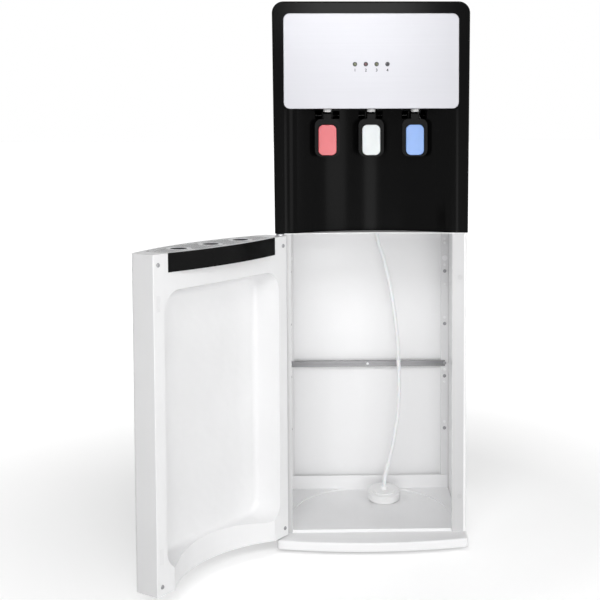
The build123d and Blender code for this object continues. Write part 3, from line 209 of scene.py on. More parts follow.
# ---------------------------------------------------------------- shared node groups
def new_group(name, inputs, outputs):
    """An empty node group with its sockets, and its input and output nodes."""
    tree = bpy.data.node_groups.new(name, "ShaderNodeTree")
    for label, kind, value in inputs:
        socket = tree.interface.new_socket(label, in_out="INPUT", socket_type="NodeSocket" + kind)
        if value is not None:
            socket.default_value = value
    for label, kind in outputs:
        tree.interface.new_socket(label, in_out="OUTPUT", socket_type="NodeSocket" + kind)
    return tree, tree.nodes.new("NodeGroupInput"), tree.nodes.new("NodeGroupOutput")


def add(tree, kind, **values):
    """A node with some of its settings."""
    node = tree.nodes.new("ShaderNode" + kind)
    for key, value in values.items():
        setattr(node, key, value)
    return node


def spread_map(tree, value, low, high):
    """Bring a noise's middle range to low..high."""
    node = add(tree, "MapRange")
    node.inputs["From Min"].default_value = NOISE_LOW
    node.inputs["From Max"].default_value = NOISE_HIGH
    tree.links.new(value, node.inputs["Value"])
    for name, source in (("To Min", low), ("To Max", high)):
        if isinstance(source, (int, float)):
            node.inputs[name].default_value = source
        else:
            tree.links.new(source, node.inputs[name])
    return node.outputs["Result"]


def skin_group():
    """Moulded or coated skin: faint patches of tone, uneven gloss and a fine relief."""
    tree, source, out = new_group("moulded_skin", [
        ("Tone", "Color", (0.8, 0.8, 0.8, 1)), ("Second Tone", "Color", (0.7, 0.7, 0.7, 1)),
        ("Patch Scale", "Float", 6.0), ("Grain Scale", "Float", 900.0), ("Low Gloss", "Float", 0.3),
        ("High Gloss", "Float", 0.4), ("Relief", "Float", 0.00003), ("Wave Relief", "Float", 0.0001),
    ], [("Color", "Color"), ("Roughness", "Float"), ("Normal", "Vector")])
    link = tree.links.new
    place = add(tree, "TexCoord").outputs["Object"]
    patch = add(tree, "TexNoise")
    patch.inputs["Detail"].default_value = 4
    grain = add(tree, "TexNoise")
    grain.inputs["Detail"].default_value = 3
    grain.inputs["Roughness"].default_value = 0.6
    wave = add(tree, "TexNoise")
    wave.inputs["Scale"].default_value = 22
    wave.inputs["Detail"].default_value = 1
    for noise in (patch, grain, wave):
        link(place, noise.inputs["Vector"])
    link(source.outputs["Patch Scale"], patch.inputs["Scale"])
    link(source.outputs["Grain Scale"], grain.inputs["Scale"])
    mask = spread_map(tree, patch.outputs["Fac"], 0.0, 1.0)
    tone = add(tree, "Mix", data_type="RGBA")
    link(mask, tone.inputs["Factor"])
    link(source.outputs["Tone"], tone.inputs[MIX_FIRST])
    link(source.outputs["Second Tone"], tone.inputs[MIX_SECOND])
    link(tone.outputs[MIX_RESULT], out.inputs["Color"])
    gloss = spread_map(tree, grain.outputs["Fac"], source.outputs["Low Gloss"],
                       source.outputs["High Gloss"])
    link(gloss, out.inputs["Roughness"])
    broad = add(tree, "Bump")
    link(source.outputs["Wave Relief"], broad.inputs["Distance"])
    link(wave.outputs["Fac"], broad.inputs["Height"])
    fine = add(tree, "Bump")
    link(source.outputs["Relief"], fine.inputs["Distance"])
    link(grain.outputs["Fac"], fine.inputs["Height"])
    link(broad.outputs["Normal"], fine.inputs["Normal"])
    link(fine.outputs["Normal"], out.inputs["Normal"])
    return tree


def brushed_group():
    """Brushed metal: long fine streaks across the grain, in tone, gloss and relief."""
    tree, source, out = new_group("brushed_streaks", [
        ("Tone", "Color", (0.7, 0.7, 0.7, 1)), ("Streak Tone", "Color", (0.6, 0.6, 0.6, 1)),
        ("Stretch", "Vector", (6, 900, 900)), ("Low Gloss", "Float", 0.25), ("High Gloss", "Float", 0.4),
        ("Relief", "Float", 0.00001),
    ], [("Color", "Color"), ("Roughness", "Float"), ("Normal", "Vector")])
    link = tree.links.new
    place = add(tree, "TexCoord").outputs["Object"]
    stretch = add(tree, "VectorMath", operation="MULTIPLY")
    link(place, stretch.inputs[0])
    link(source.outputs["Stretch"], stretch.inputs[1])
    streak = add(tree, "TexNoise")
    streak.inputs["Scale"].default_value = 1.0
    streak.inputs["Detail"].default_value = 5
    streak.inputs["Roughness"].default_value = 0.65
    link(stretch.outputs["Vector"], streak.inputs["Vector"])
    mask = spread_map(tree, streak.outputs["Fac"], 0.0, 1.0)
    tone = add(tree, "Mix", data_type="RGBA")
    link(mask, tone.inputs["Factor"])
    link(source.outputs["Tone"], tone.inputs[MIX_FIRST])
    link(source.outputs["Streak Tone"], tone.inputs[MIX_SECOND])
    link(tone.outputs[MIX_RESULT], out.inputs["Color"])
    gloss = spread_map(tree, streak.outputs["Fac"], source.outputs["Low Gloss"],
                       source.outputs["High Gloss"])
    link(gloss, out.inputs["Roughness"])
    bump = add(tree, "Bump")
    link(source.outputs["Relief"], bump.inputs["Distance"])
    link(streak.outputs["Fac"], bump.inputs["Height"])
    link(bump.outputs["Normal"], out.inputs["Normal"])
    return tree


def dimple_group():
    """Soft hammered dimples, as on the door's inner moulding."""
    tree, source, out = new_group("hammered_dimples", [
        ("Normal", "Vector", None), ("Cells", "Float", 70.0), ("Depth", "Float", 0.0004),
    ], [("Normal", "Vector")])
    link = tree.links.new
    cells = add(tree, "TexVoronoi", feature="SMOOTH_F1")
    cells.inputs["Smoothness"].default_value = 1.0
    link(add(tree, "TexCoord").outputs["Object"], cells.inputs["Vector"])
    link(source.outputs["Cells"], cells.inputs["Scale"])
    bump = add(tree, "Bump")
    link(source.outputs["Depth"], bump.inputs["Distance"])
    link(cells.outputs["Distance"], bump.inputs["Height"])
    link(source.outputs["Normal"], bump.inputs["Normal"])
    link(bump.outputs["Normal"], out.inputs["Normal"])
    return tree


GROUPS = {}


def shared(name):
    """The named effect, built the first time that a finish asks for it."""
    makers = {"skin": skin_group, "brushed": brushed_group, "dimples": dimple_group}
    if name not in GROUPS:
        GROUPS[name] = makers[name]()
    return GROUPS[name]


# ---------------------------------------------------------------- finishes
def rgba(colour, factor=1.0):
    """An opaque colour, scaled."""
    return (colour[0] * factor, colour[1] * factor, colour[2] * factor, 1.0)


def finish(name, effect, values, metallic=0.0, **shader_values):
    """A material whose colour, gloss and relief come from one shared effect."""
    material = bpy.data.materials.new(name)
    material.use_nodes = True
    tree = material.node_tree
    shader = tree.nodes["Principled BSDF"]
    group = tree.nodes.new("ShaderNodeGroup")
    group.node_tree = shared(effect)
    for key, value in values.items():
        group.inputs[key].default_value = value
    tree.links.new(group.outputs["Color"], shader.inputs["Base Color"])
    tree.links.new(group.outputs["Roughness"], shader.inputs["Roughness"])
    tree.links.new(group.outputs["Normal"], shader.inputs["Normal"])
    shader.inputs["Metallic"].default_value = metallic
    for key, value in shader_values.items():
        shader.inputs[key.replace("_", " ")].default_value = value
    return material


def skin(name, colour, second=0.96, patch=6.0, grain=900.0, gloss=(0.28, 0.36), relief=2e-5, wave=2e-4,
         **values):
    """A moulded or coated finish."""
    return finish(name, "skin", {
        "Tone": rgba(colour), "Second Tone": rgba(colour, second), "Patch Scale": patch,
        "Grain Scale": grain, "Low Gloss": gloss[0], "High Gloss": gloss[1], "Relief": relief,
        "Wave Relief": wave,
    }, **values)


def brushed(name, colour, stretch, streak=0.86, gloss=(0.24, 0.4), relief=1e-5, metallic=1.0, **values):
    """A brushed metal finish."""
    return finish(name, "brushed", {
        "Tone": rgba(colour), "Streak Tone": rgba(colour, streak), "Stretch": stretch,
        "Low Gloss": gloss[0], "High Gloss": gloss[1], "Relief": relief,
    }, metallic=metallic, **values)


def effect_node(material):
    """The shared effect that a finish uses."""
    return next(n for n in material.node_tree.nodes if n.type == "GROUP")


def place_axes(tree):
    """The object's coordinates, apart."""
    axes = add(tree, "SeparateXYZ")
    tree.links.new(add(tree, "TexCoord").outputs["Object"], axes.inputs["Vector"])
    return axes.outputs


def repaint(material, mask, colour, where_one):
    """Put a plain colour where a mask is one, or where it is zero."""
    tree = material.node_tree
    plain, kept = (MIX_SECOND, MIX_FIRST) if where_one else (MIX_FIRST, MIX_SECOND)
    tone = add(tree, "Mix", data_type="RGBA")
    tone.inputs[plain].default_value = colour
    tree.links.new(mask, tone.inputs["Factor"])
    tree.links.new(effect_node(material).outputs["Color"], tone.inputs[kept])
    tree.links.new(tone.outputs[MIX_RESULT], tree.nodes["Principled BSDF"].inputs["Base Color"])


def wear(material, *names):
    """Give a finish to CAD nodes."""
    for name in names:
        slots = NODES[name].data.materials
        slots.clear()
        slots.append(material)


# ---------------------------------------------------------------- pieces
def add_piece(name, bm, material, body):
    """A new mesh piece in the row frame, riding on a body."""
    bmesh.ops.remove_doubles(bm, verts=bm.verts, dist=1e-6)
    bmesh.ops.recalc_face_normals(bm, faces=bm.faces)
    mesh = bpy.data.meshes.new(name)
    bm.to_mesh(mesh)
    bm.free()
    mesh.materials.append(material)
    piece = bpy.data.objects.new(name, mesh)
    bpy.context.scene.collection.objects.link(piece)
    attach(piece, body)
    return piece


def ring(bm, centre, inner, outer, low, high, segments=40):
    """A flat ring whose axis is Y, from y = low to y = high, its front edge eased."""
    edge = (outer - inner) * RING_EASE
    profile = [(inner, low), (outer, low), (outer, high + edge), (outer - edge, high),
               (inner + edge, high), (inner, high + edge)]
    verts = [bm.verts.new((centre[0] + r, y, centre[1])) for r, y in profile]
    edges = [bm.edges.new((verts[i], verts[(i + 1) % len(verts)])) for i in range(len(verts))]
    bmesh.ops.spin(bm, geom=verts + edges, cent=(centre[0], 0, centre[1]), axis=(0, 1, 0),
                   angle=2 * math.pi, steps=segments, use_merge=True)


def text_mesh(text, height, depth):
    """A text's mesh, standing in the XZ plane and facing -Y, centred on the origin."""
    curve = bpy.data.curves.new("numeral", "FONT")
    curve.body = text
    curve.size = height * FONT_SIZE
    curve.extrude = depth / 2
    curve.offset = height * STROKE_GAIN
    curve.align_x = "CENTER"
    curve.align_y = "CENTER"
    source = bpy.data.objects.new("numeral", curve)
    bpy.context.scene.collection.objects.link(source)
    graph = bpy.context.evaluated_depsgraph_get()
    mesh = bpy.data.meshes.new_from_object(source.evaluated_get(graph))
    bpy.data.objects.remove(source)
    mesh.transform(Matrix.Rotation(math.pi / 2, 4, "X"))
    return mesh


# ---------------------------------------------------------------- hose
# millimetres, from the gland under the head down to the bottle cap
HOSE_ROUTE = [
    (14.5, -15, 570.5), (14.5, -15, 554.5), (29.5, -12, 513.5), (41, -8, 461.5), (50, -4, 409.5),
    (56, -0.5, 357.5), (59, 3, 305.5), (60, 6, 253.5), (58, 8.5, 204.5), (51, 10.5, 155.5),
    (42, 12, 113.5), (30, 12.32, 67.27), (30, 14.75, 53.49),
]


def hose_finish(colour):
    """Milky vinyl: cloudy along its length, a little light passing through."""
    return skin("hose_vinyl", colour, second=0.97, patch=18.0, grain=500.0, gloss=(0.34, 0.42),
                relief=1.5e-6, wave=4e-5, Subsurface_Weight=0.15, Coat_Weight=0.15, Coat_Roughness=0.2)


class CoolerHose(bpy.types.Operator):
    """Hang the suction hose between its gland and the bottle cap"""
    bl_idname = "cooler.hose"
    bl_label = "Suction Hose"

    def execute(self, context):
        settings = context.scene.cooler_hose
        curve = bpy.data.curves.new("suction_hose_tube", "CURVE")
        curve.dimensions = "3D"
        curve.bevel_depth = settings.diameter / 2
        curve.bevel_resolution = 8
        curve.resolution_u = 16
        curve.use_fill_caps = True
        spline = curve.splines.new("NURBS")
        spline.points.add(len(HOSE_ROUTE) - 1)
        for point, (x, y, z) in zip(spline.points, HOSE_ROUTE):
            point.co = (x * MM, y * MM, z * MM, 1.0)
        spline.order_u = 3
        spline.use_endpoint_u = True
        spline.use_smooth = True
        curve.materials.append(hose_finish(settings.colour))
        hose = bpy.data.objects.new("suction_hose_tube", curve)
        context.scene.collection.objects.link(hose)
        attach(hose, "cabinet")
        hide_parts("suction_hose")
        wear(skin("gland_nylon", (0.80, 0.80, 0.80), grain=600.0, gloss=(0.35, 0.45)), "hose_gland")
        wear(skin("cap_polythene", (0.93, 0.93, 0.93), second=0.96, patch=25.0, grain=700.0,
                  gloss=(0.34, 0.44), relief=8e-6), "bottle_cap")
        return {"FINISHED"}


# ---------------------------------------------------------------- cabinet
class CoolerCabinet(bpy.types.Operator):
    """Finish the plinth, the coated sheets and the fittings of the bottle bay"""
    bl_idname = "cooler.cabinet"
    bl_label = "Cabinet"

    def execute(self, context):
        settings = context.scene.cooler_cabinet
        plinth = skin("plinth_moulding", settings.lining, second=0.97)
        coat = skin("white_coat", settings.coat, second=0.975, patch=4.0, grain=1500.0, gloss=(0.3, 0.36),
                    relief=1.2e-5, wave=2.5e-4, Coat_Weight=0.25, Coat_Roughness=0.15)
        wear(plinth, "base_plinth")
        # painted light: the side panels' inner faces take the lining's brighter tone, for the light that
        # falls on them in the bay
        self.paint_inner_light(coat, settings.lining)
        wear(coat, "side_panel_left", "side_panel_right")
        lining = skin("white_lining", settings.lining, second=0.98, patch=4.0, grain=1500.0,
                      gloss=(0.3, 0.38), relief=1.2e-5, wave=2e-4, Coat_Weight=0.2, Coat_Roughness=0.15)
        wear(lining, "bay_rear_wall", "bay_shelf")
        post = skin("post_coat", rgba(settings.lining, POST_TONE), second=POST_SECOND_TONE / POST_TONE,
                    patch=4.0, grain=1500.0, gloss=(0.3, 0.38), relief=1.2e-5, wave=2e-4,
                    Coat_Weight=0.2, Coat_Roughness=0.15)
        wear(post, "rear_posts")
        tray = skin("tray_moulding", settings.lining, second=0.965, patch=7.0, grain=800.0,
                    gloss=(0.3, 0.38), relief=5e-6, wave=1e-4)
        wear(tray, "bottle_tray")
        rubber = skin("foot_rubber", (0.03, 0.03, 0.03), second=0.7, patch=40.0, grain=1200.0,
                      gloss=(0.7, 0.85), relief=8e-5)
        wear(rubber, "rubber_feet", "compressor_grommets", "power_inlet")
        zinc = brushed("bright_zinc", (0.66, 0.66, 0.68), (220, 220, 220), streak=0.8, gloss=(0.22, 0.45))
        wear(zinc, "hinge_upper", "hinge_lower")
        dull = brushed("dull_zinc", (0.40, 0.40, 0.41), (220, 220, 220), streak=0.75, gloss=(0.4, 0.55),
                       metallic=0.7)
        wear(dull, "cabinet_screws", "door_screws", "condenser_brackets")
        button = skin("button_enamel", (0.60, 0.60, 0.605), second=0.95, patch=40.0, grain=1200.0,
                      gloss=(0.4, 0.5))
        wear(button, "strike_plates")
        bar = brushed("brace_steel", (0.21, 0.21, 0.215), (5, 900, 900), streak=0.75, gloss=(0.25, 0.42))
        wear(bar, "brace_bar")
        return {"FINISHED"}

    def paint_inner_light(self, material, colour):
        """Give the side panels' inner faces the lining's brighter tone, but not their sides and fronts:
        painted light.
        """
        tree = material.node_tree
        axes = place_axes(tree)
        low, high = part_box("side_panel_right")
        across = add(tree, "Math", operation="ABSOLUTE")
        tree.links.new(axes["X"], across.inputs[0])
        within = add(tree, "Math", operation="LESS_THAN")
        tree.links.new(across.outputs["Value"], within.inputs[0])
        within.inputs[1].default_value = high.x - FACE_MARGIN
        behind = add(tree, "Math", operation="GREATER_THAN")
        tree.links.new(axes["Y"], behind.inputs[0])
        behind.inputs[1].default_value = low.y + FACE_MARGIN
        both = add(tree, "Math", operation="MULTIPLY")
        tree.links.new(within.outputs["Value"], both.inputs[0])
        tree.links.new(behind.outputs["Value"], both.inputs[1])
        repaint(material, both.outputs["Value"], rgba(colour), where_one=True)


class CoolerPlugs(bpy.types.Operator):
    """Close the spare holes of the posts and of the bar with white plugs"""
    bl_idname = "cooler.plugs"
    bl_label = "Hole Plugs"

    def execute(self, context):
        colour = context.scene.cooler_cabinet.lining
        nylon = skin("plug_nylon", colour, second=0.98, patch=40.0, grain=1200.0, gloss=(0.3, 0.4))
        low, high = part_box("rear_posts")
        bm = bmesh.new()
        for side in (-1, 1):
            x = side * (high.x - POST_CENTRE)
            for z, radius in POST_PLUGS:
                self.plug(bm, Vector((x, low.y, z)), radius)
        bar_low, bar_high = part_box("brace_bar")
        self.plug(bm, Vector((0, bar_low.y, (bar_low.z + bar_high.z) / 2)), BAR_PLUG_RADIUS)
        add_piece("hole_plugs", bm, nylon, "cabinet")
        return {"FINISHED"}

    def plug(self, bm, face, radius):
        """A shallow domed button whose axis is Y, seated on a sheet's front face."""
        verts = [bm.verts.new((face.x + share * radius, face.y + y, face.z))
                 for share, y in PLUG_OUTLINE]
        edges = [bm.edges.new(pair) for pair in zip(verts, verts[1:])]
        bmesh.ops.spin(bm, geom=verts + edges, cent=face, axis=(0, 1, 0),
                       angle=2 * math.pi, steps=PLUG_FACETS, use_merge=True)


# ---------------------------------------------------------------- head
class CoolerHead(bpy.types.Operator):
    """Finish the black head and its panel, and set rings and numbers at the lamps"""
    bl_idname = "cooler.head"
    bl_label = "Head"

    def execute(self, context):
        settings = context.scene.cooler_head
        black = skin("gloss_black", settings.gloss_black, second=0.85, patch=3.0, grain=1600.0,
                     gloss=(0.12, 0.17), relief=2e-6, wave=4e-5, Specular_IOR_Level=0.05)
        wear(black, "front_fascia", "top_cover")
        panel = brushed("panel_aluminium", settings.panel, (5, 1200, 1400), streak=0.965,
                        gloss=(0.28, 0.36), relief=2e-6, metallic=0.6)
        wear(panel, "control_panel")
        for name, colour in (("power", (0.22, 0.24, 0.14)), ("heating", (0.22, 0.10, 0.11)),
                             ("cooling", (0.20, 0.21, 0.13)), ("empty", (0.07, 0.065, 0.075))):
            lens = skin("lens_" + name, colour, second=0.75, patch=300.0, grain=1500.0,
                        gloss=(0.06, 0.12), relief=2e-6, Coat_Weight=0.5, Coat_Roughness=0.05)
            wear(lens, "lamp_" + name)
        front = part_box("control_panel")[0].y
        dark = skin("lamp_ring", (0.03, 0.03, 0.035), second=0.8, patch=60.0, gloss=(0.3, 0.4))
        bm = bmesh.new()
        for x in LAMP_X:
            ring(bm, (x, LAMP_Z), RING_INNER, RING_INNER + settings.bezel_width, front + RING_SEAT,
                 front - RING_PROUD)
        add_piece("lamp_bezels", bm, dark, "cabinet")
        ink = skin("numeral_ink", (0.02, 0.02, 0.022), second=0.8, patch=200.0, gloss=(0.5, 0.6))
        bm = bmesh.new()
        for i, x in enumerate(LAMP_X):
            mesh = text_mesh(str(i + 1), settings.numeral_height, NUMERAL_DEPTH)
            mesh.transform(Matrix.Translation((x, front, LAMP_Z - NUMERAL_DROP)))
            bm.from_mesh(mesh)
        add_piece("lamp_numerals", bm, ink, "cabinet")
        board = skin("board_laminate", (0.03, 0.16, 0.07), second=0.7, patch=90.0, grain=700.0,
                     gloss=(0.3, 0.5))
        wear(board, "control_board")
        return {"FINISHED"}


# ---------------------------------------------------------------- taps
class CoolerTaps(bpy.types.Operator):
    """Finish the spouts, levers and coloured pads"""
    bl_idname = "cooler.taps"
    bl_label = "Taps"

    def execute(self, context):
        settings = context.scene.cooler_taps
        satin = skin("satin_black", (0.0045, 0.0045, 0.0046), second=0.8, patch=30.0, grain=1400.0,
                     gloss=(0.32, 0.42), Specular_IOR_Level=0.08)
        wear(satin, "lever_hot", "lever_room", "lever_cold", "water_pump", "switch_housing", "drain_plug")
        for name, colour in (("hot", settings.hot), ("room", settings.room), ("cold", settings.cold)):
            pad = skin("pad_gloss_" + name, colour, second=0.94, patch=35.0, grain=1400.0,
                       gloss=(0.16, 0.24), relief=5e-6, Subsurface_Weight=0.1, Coat_Weight=0.3,
                       Coat_Roughness=0.08)
            wear(pad, "pad_" + name)
        nylon = skin("tap_nylon", (0.82, 0.82, 0.82), grain=700.0, gloss=(0.3, 0.42))
        wear(nylon, "spouts", "tap_valves", "hinge_bushes")
        # pins and springs in near-black with little shine: painted shade, standing in for the shade
        # inside the tap windows
        shaded_pins = brushed("pin_painted_shade", (0.006, 0.006, 0.0065), (10, 1200, 1200), gloss=(0.45, 0.6),
                        metallic=0.0, Specular_IOR_Level=0.05)
        wear(shaded_pins, "lever_pins", "lever_springs")
        return {"FINISHED"}


# ---------------------------------------------------------------- door
class CoolerDoor(bpy.types.Operator):
    """Finish the door's shell, its hammered liner, the drip basin and its grille"""
    bl_idname = "cooler.door"
    bl_label = "Door"

    def execute(self, context):
        settings = context.scene.cooler_cabinet
        head = context.scene.cooler_head
        shell = skin("door_moulding", settings.moulding, second=0.97)
        wear(shell, "door_shell")
        liner = skin("liner_moulding", settings.moulding, second=0.965, patch=9.0, grain=700.0,
                     gloss=(0.3, 0.4))
        self.hammer(liner)
        wear(liner, "door_liner")
        black = skin("basin_black", head.gloss_black, second=0.85, patch=5.0, grain=1600.0,
                     gloss=(0.16, 0.24), relief=4e-6, wave=6e-5, Specular_IOR_Level=0.05)
        wear(black, "drip_basin")
        grille = skin("grille_satin", (0.83, 0.84, 0.85), second=0.94, patch=30.0, grain=1300.0,
                      gloss=(0.3, 0.42))
        # painted shade: the slot and cup-hole walls go dark below the grille's top face
        self.paint_slot_shade(grille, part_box("drip_grille")[1].z)
        wear(grille, "drip_grille")
        cased = skin("magnet_casing", rgba(settings.moulding, 0.96), second=0.95, patch=60.0,
                     grain=1200.0, gloss=(0.35, 0.45))
        wear(cased, "door_magnets")
        return {"FINISHED"}

    def hammer(self, material):
        """Lay the hammered dimples over the skin's own relief."""
        tree = material.node_tree
        relief = effect_node(material).outputs["Normal"]
        dimples = tree.nodes.new("ShaderNodeGroup")
        dimples.node_tree = shared("dimples")
        tree.links.new(relief, dimples.inputs["Normal"])
        tree.links.new(dimples.outputs["Normal"], tree.nodes["Principled BSDF"].inputs["Normal"])

    def paint_slot_shade(self, material, face_height):
        """Paint shade on the walls of the slots and cup holes, dark below the pale top face: painted
        shade.
        """
        tree = material.node_tree
        depth = add(tree, "MapRange")
        depth.inputs["From Min"].default_value = face_height - SLOT_SHADE_FULL
        depth.inputs["From Max"].default_value = face_height - SLOT_SHADE_START
        tree.links.new(place_axes(tree)["Z"], depth.inputs["Value"])
        repaint(material, depth.outputs["Result"], SLOT_SHADE_TONE, where_one=False)


# ---------------------------------------------------------------- inside the head
class CoolerInternals(bpy.types.Operator):
    """Finish the tanks, the compressor and the lines inside the head"""
    bl_idname = "cooler.internals"
    bl_label = "Internals"

    def execute(self, context):
        stainless = brushed("drawn_stainless", (0.62, 0.62, 0.62), (700, 700, 12), streak=0.85,
                            gloss=(0.2, 0.34))
        wear(stainless, "cold_tank", "hot_tank", "drain_pipe")
        foam = skin("closed_cell_foam", (0.022, 0.022, 0.024), second=0.75, patch=60.0, grain=500.0,
                    gloss=(0.8, 0.95), relief=3e-4, wave=5e-4, Specular_IOR_Level=0.2)
        wear(foam, "cold_tank_insulation")
        enamel = skin("compressor_enamel", (0.012, 0.012, 0.013), second=0.8, patch=14.0, grain=900.0,
                      gloss=(0.25, 0.4), relief=5e-5)
        wear(enamel, "compressor", "condenser_coil", "condenser_wires", "tank_shelf")
        silicone = skin("silicone_line", (0.80, 0.81, 0.82), second=0.93, patch=35.0, grain=500.0,
                        gloss=(0.35, 0.5))
        wear(silicone, "water_lines")
        copper = brushed("drawn_copper", (0.72, 0.33, 0.19), (160, 160, 160), streak=0.75,
                         gloss=(0.22, 0.42))
        wear(copper, "gas_lines")
        return {"FINISHED"}


# ---------------------------------------------------------------- back
class CoolerBack(bpy.types.Operator):
    """Finish the rear cover, set a hood over each louvre and put a dark sheet behind them as painted
    shade
    """
    bl_idname = "cooler.back"
    bl_label = "Back"

    def execute(self, context):
        settings = context.scene.cooler_back
        coat = skin("rear_coat", context.scene.cooler_cabinet.coat, second=0.97, patch=5.0, grain=1500.0,
                    gloss=(0.32, 0.4), relief=1.5e-5, wave=3e-4)
        wear(coat, "rear_cover")
        for name, colour in (("hot", (0.55, 0.03, 0.025)), ("cold", (0.03, 0.26, 0.08))):
            key = skin("rocker_" + name + "_gloss", colour, second=0.85, patch=60.0, grain=1200.0,
                       gloss=(0.18, 0.28), Coat_Weight=0.2)
            wear(key, "rocker_" + name)
        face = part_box("rear_cover")[1].y
        bm = bmesh.new()
        for column in range(LOUVRE_COLUMNS):
            for row in range(LOUVRE_ROWS):
                centre = Vector(((column - 1) * LOUVRE_PITCH_X, face,
                                 LOUVRE_BOTTOM + row * LOUVRE_PITCH_Z))
                self.hood(bm, centre, settings)
        add_piece("louvre_hoods", bm, coat, "cabinet")
        # a dark sheet behind the louvres: painted shade, so that the tap windows stay dark
        shade_sheet = skin("painted_shade_sheet", (0.018, 0.018, 0.019), second=0.7, patch=50.0, grain=900.0,
                    gloss=(0.8, 0.95), relief=1e-4, wave=2e-4, Specular_IOR_Level=0.1)
        bm = bmesh.new()
        made = bmesh.ops.create_grid(bm, x_segments=18, y_segments=12, size=0.5)
        bmesh.ops.scale(bm, vec=(*SHADE_SHEET_SIZE, 1), verts=made["verts"])
        bmesh.ops.rotate(bm, verts=made["verts"], matrix=Matrix.Rotation(math.pi / 2, 3, "X"))
        bmesh.ops.translate(bm, verts=made["verts"], vec=(0, face - SHADE_SHEET_DEPTH, SHADE_SHEET_HEIGHT))
        bmesh.ops.solidify(bm, geom=bm.faces[:], thickness=SHADE_SHEET_THICKNESS)
        add_piece("louvre_shade_sheet", bm, shade_sheet, "cabinet")
        return {"FINISHED"}

    def hood(self, bm, centre, settings):
        """A quarter-round lip over a slot, closed at its ends."""
        steps = settings.hood_segments
        top = centre.z + HOOD_TOP
        half = LOUVRE_WIDTH / 2
        corner = bm.verts.new((centre.x - half, centre.y, centre.z - HOOD_FOOT))
        arc = []
        for i in range(steps + 1):
            angle = math.pi / 2 * i / steps
            y = centre.y + settings.hood_reach * math.sin(angle)
            z = centre.z - HOOD_FOOT + (top - centre.z + HOOD_FOOT) * math.cos(angle)
            arc.append(bm.verts.new((centre.x - half, y, z)))
        face = bm.faces.new([corner] + arc)
        made = bmesh.ops.extrude_face_region(bm, geom=[face])
        moved = [v for v in made["geom"] if isinstance(v, bmesh.types.BMVert)]
        bmesh.ops.translate(bm, verts=moved, vec=(LOUVRE_WIDTH, 0, 0))


# ---------------------------------------------------------------- stage
def area_light(name, place, target, size, power):
    """A rectangular lamp at a place, turned to a target."""
    light = bpy.data.lights.new(name, "AREA")
    light.shape = "RECTANGLE"
    light.size, light.size_y = size
    light.energy = power
    lamp = bpy.data.objects.new(name, light)
    lamp.location = place
    lamp.rotation_euler = (Vector(target) - Vector(place)).to_track_quat("-Z", "Y").to_euler()
    bpy.context.scene.collection.objects.link(lamp)


def floor_material(colour):
    """Pale floor that the camera and mirrors see near white, with the object's shadow kept."""
    material = bpy.data.materials.new("studio_floor")
    material.use_nodes = True
    tree = material.node_tree
    shader = tree.nodes["Principled BSDF"]
    shader.inputs["Base Color"].default_value = rgba(colour)
    shader.inputs["Roughness"].default_value = 0.7
    path = add(tree, "LightPath")
    seen = add(tree, "Math", operation="MAXIMUM")
    tree.links.new(path.outputs["Is Camera Ray"], seen.inputs[0])
    tree.links.new(path.outputs["Is Glossy Ray"], seen.inputs[1])
    distance = add(tree, "VectorMath", operation="LENGTH")
    tree.links.new(add(tree, "TexCoord").outputs["Object"], distance.inputs[0])
    glow = add(tree, "MapRange")
    for key, value in (("From Min", GLOW_NEAR), ("From Max", GLOW_FAR), ("To Min", GLOW_UNDER),
                       ("To Max", 1.0)):
        glow.inputs[key].default_value = value
    tree.links.new(distance.outputs["Value"], glow.inputs["Value"])
    lift = add(tree, "Math", operation="MULTIPLY")
    tree.links.new(seen.outputs["Value"], lift.inputs[0])
    tree.links.new(glow.outputs["Result"], lift.inputs[1])
    shader.inputs["Emission Color"].default_value = (1, 1, 1, 1)
    tree.links.new(lift.outputs["Value"], shader.inputs["Emission Strength"])
    return material


def studio_world(level):
    """White to the camera and to reflections, softer as a source of light."""
    world = bpy.data.worlds.new("studio")
    world.use_nodes = True
    bpy.context.scene.world = world
    tree = world.node_tree
    background = tree.nodes["Background"]
    path = add(tree, "LightPath")
    first = add(tree, "Math", operation="MAXIMUM")
    tree.links.new(path.outputs["Is Camera Ray"], first.inputs[0])
    tree.links.new(path.outputs["Is Glossy Ray"], first.inputs[1])
    second = add(tree, "Math", operation="MAXIMUM")
    tree.links.new(first.outputs["Value"], second.inputs[0])
    tree.links.new(path.outputs["Is Transmission Ray"], second.inputs[1])
    strength = add(tree, "MapRange")
    strength.inputs["To Min"].default_value = level
    strength.inputs["To Max"].default_value = 1.0
    tree.links.new(second.outputs["Value"], strength.inputs["Value"])
    tree.links.new(strength.outputs["Result"], background.inputs["Strength"])
    background.inputs["Color"].default_value = (1, 1, 1, 1)


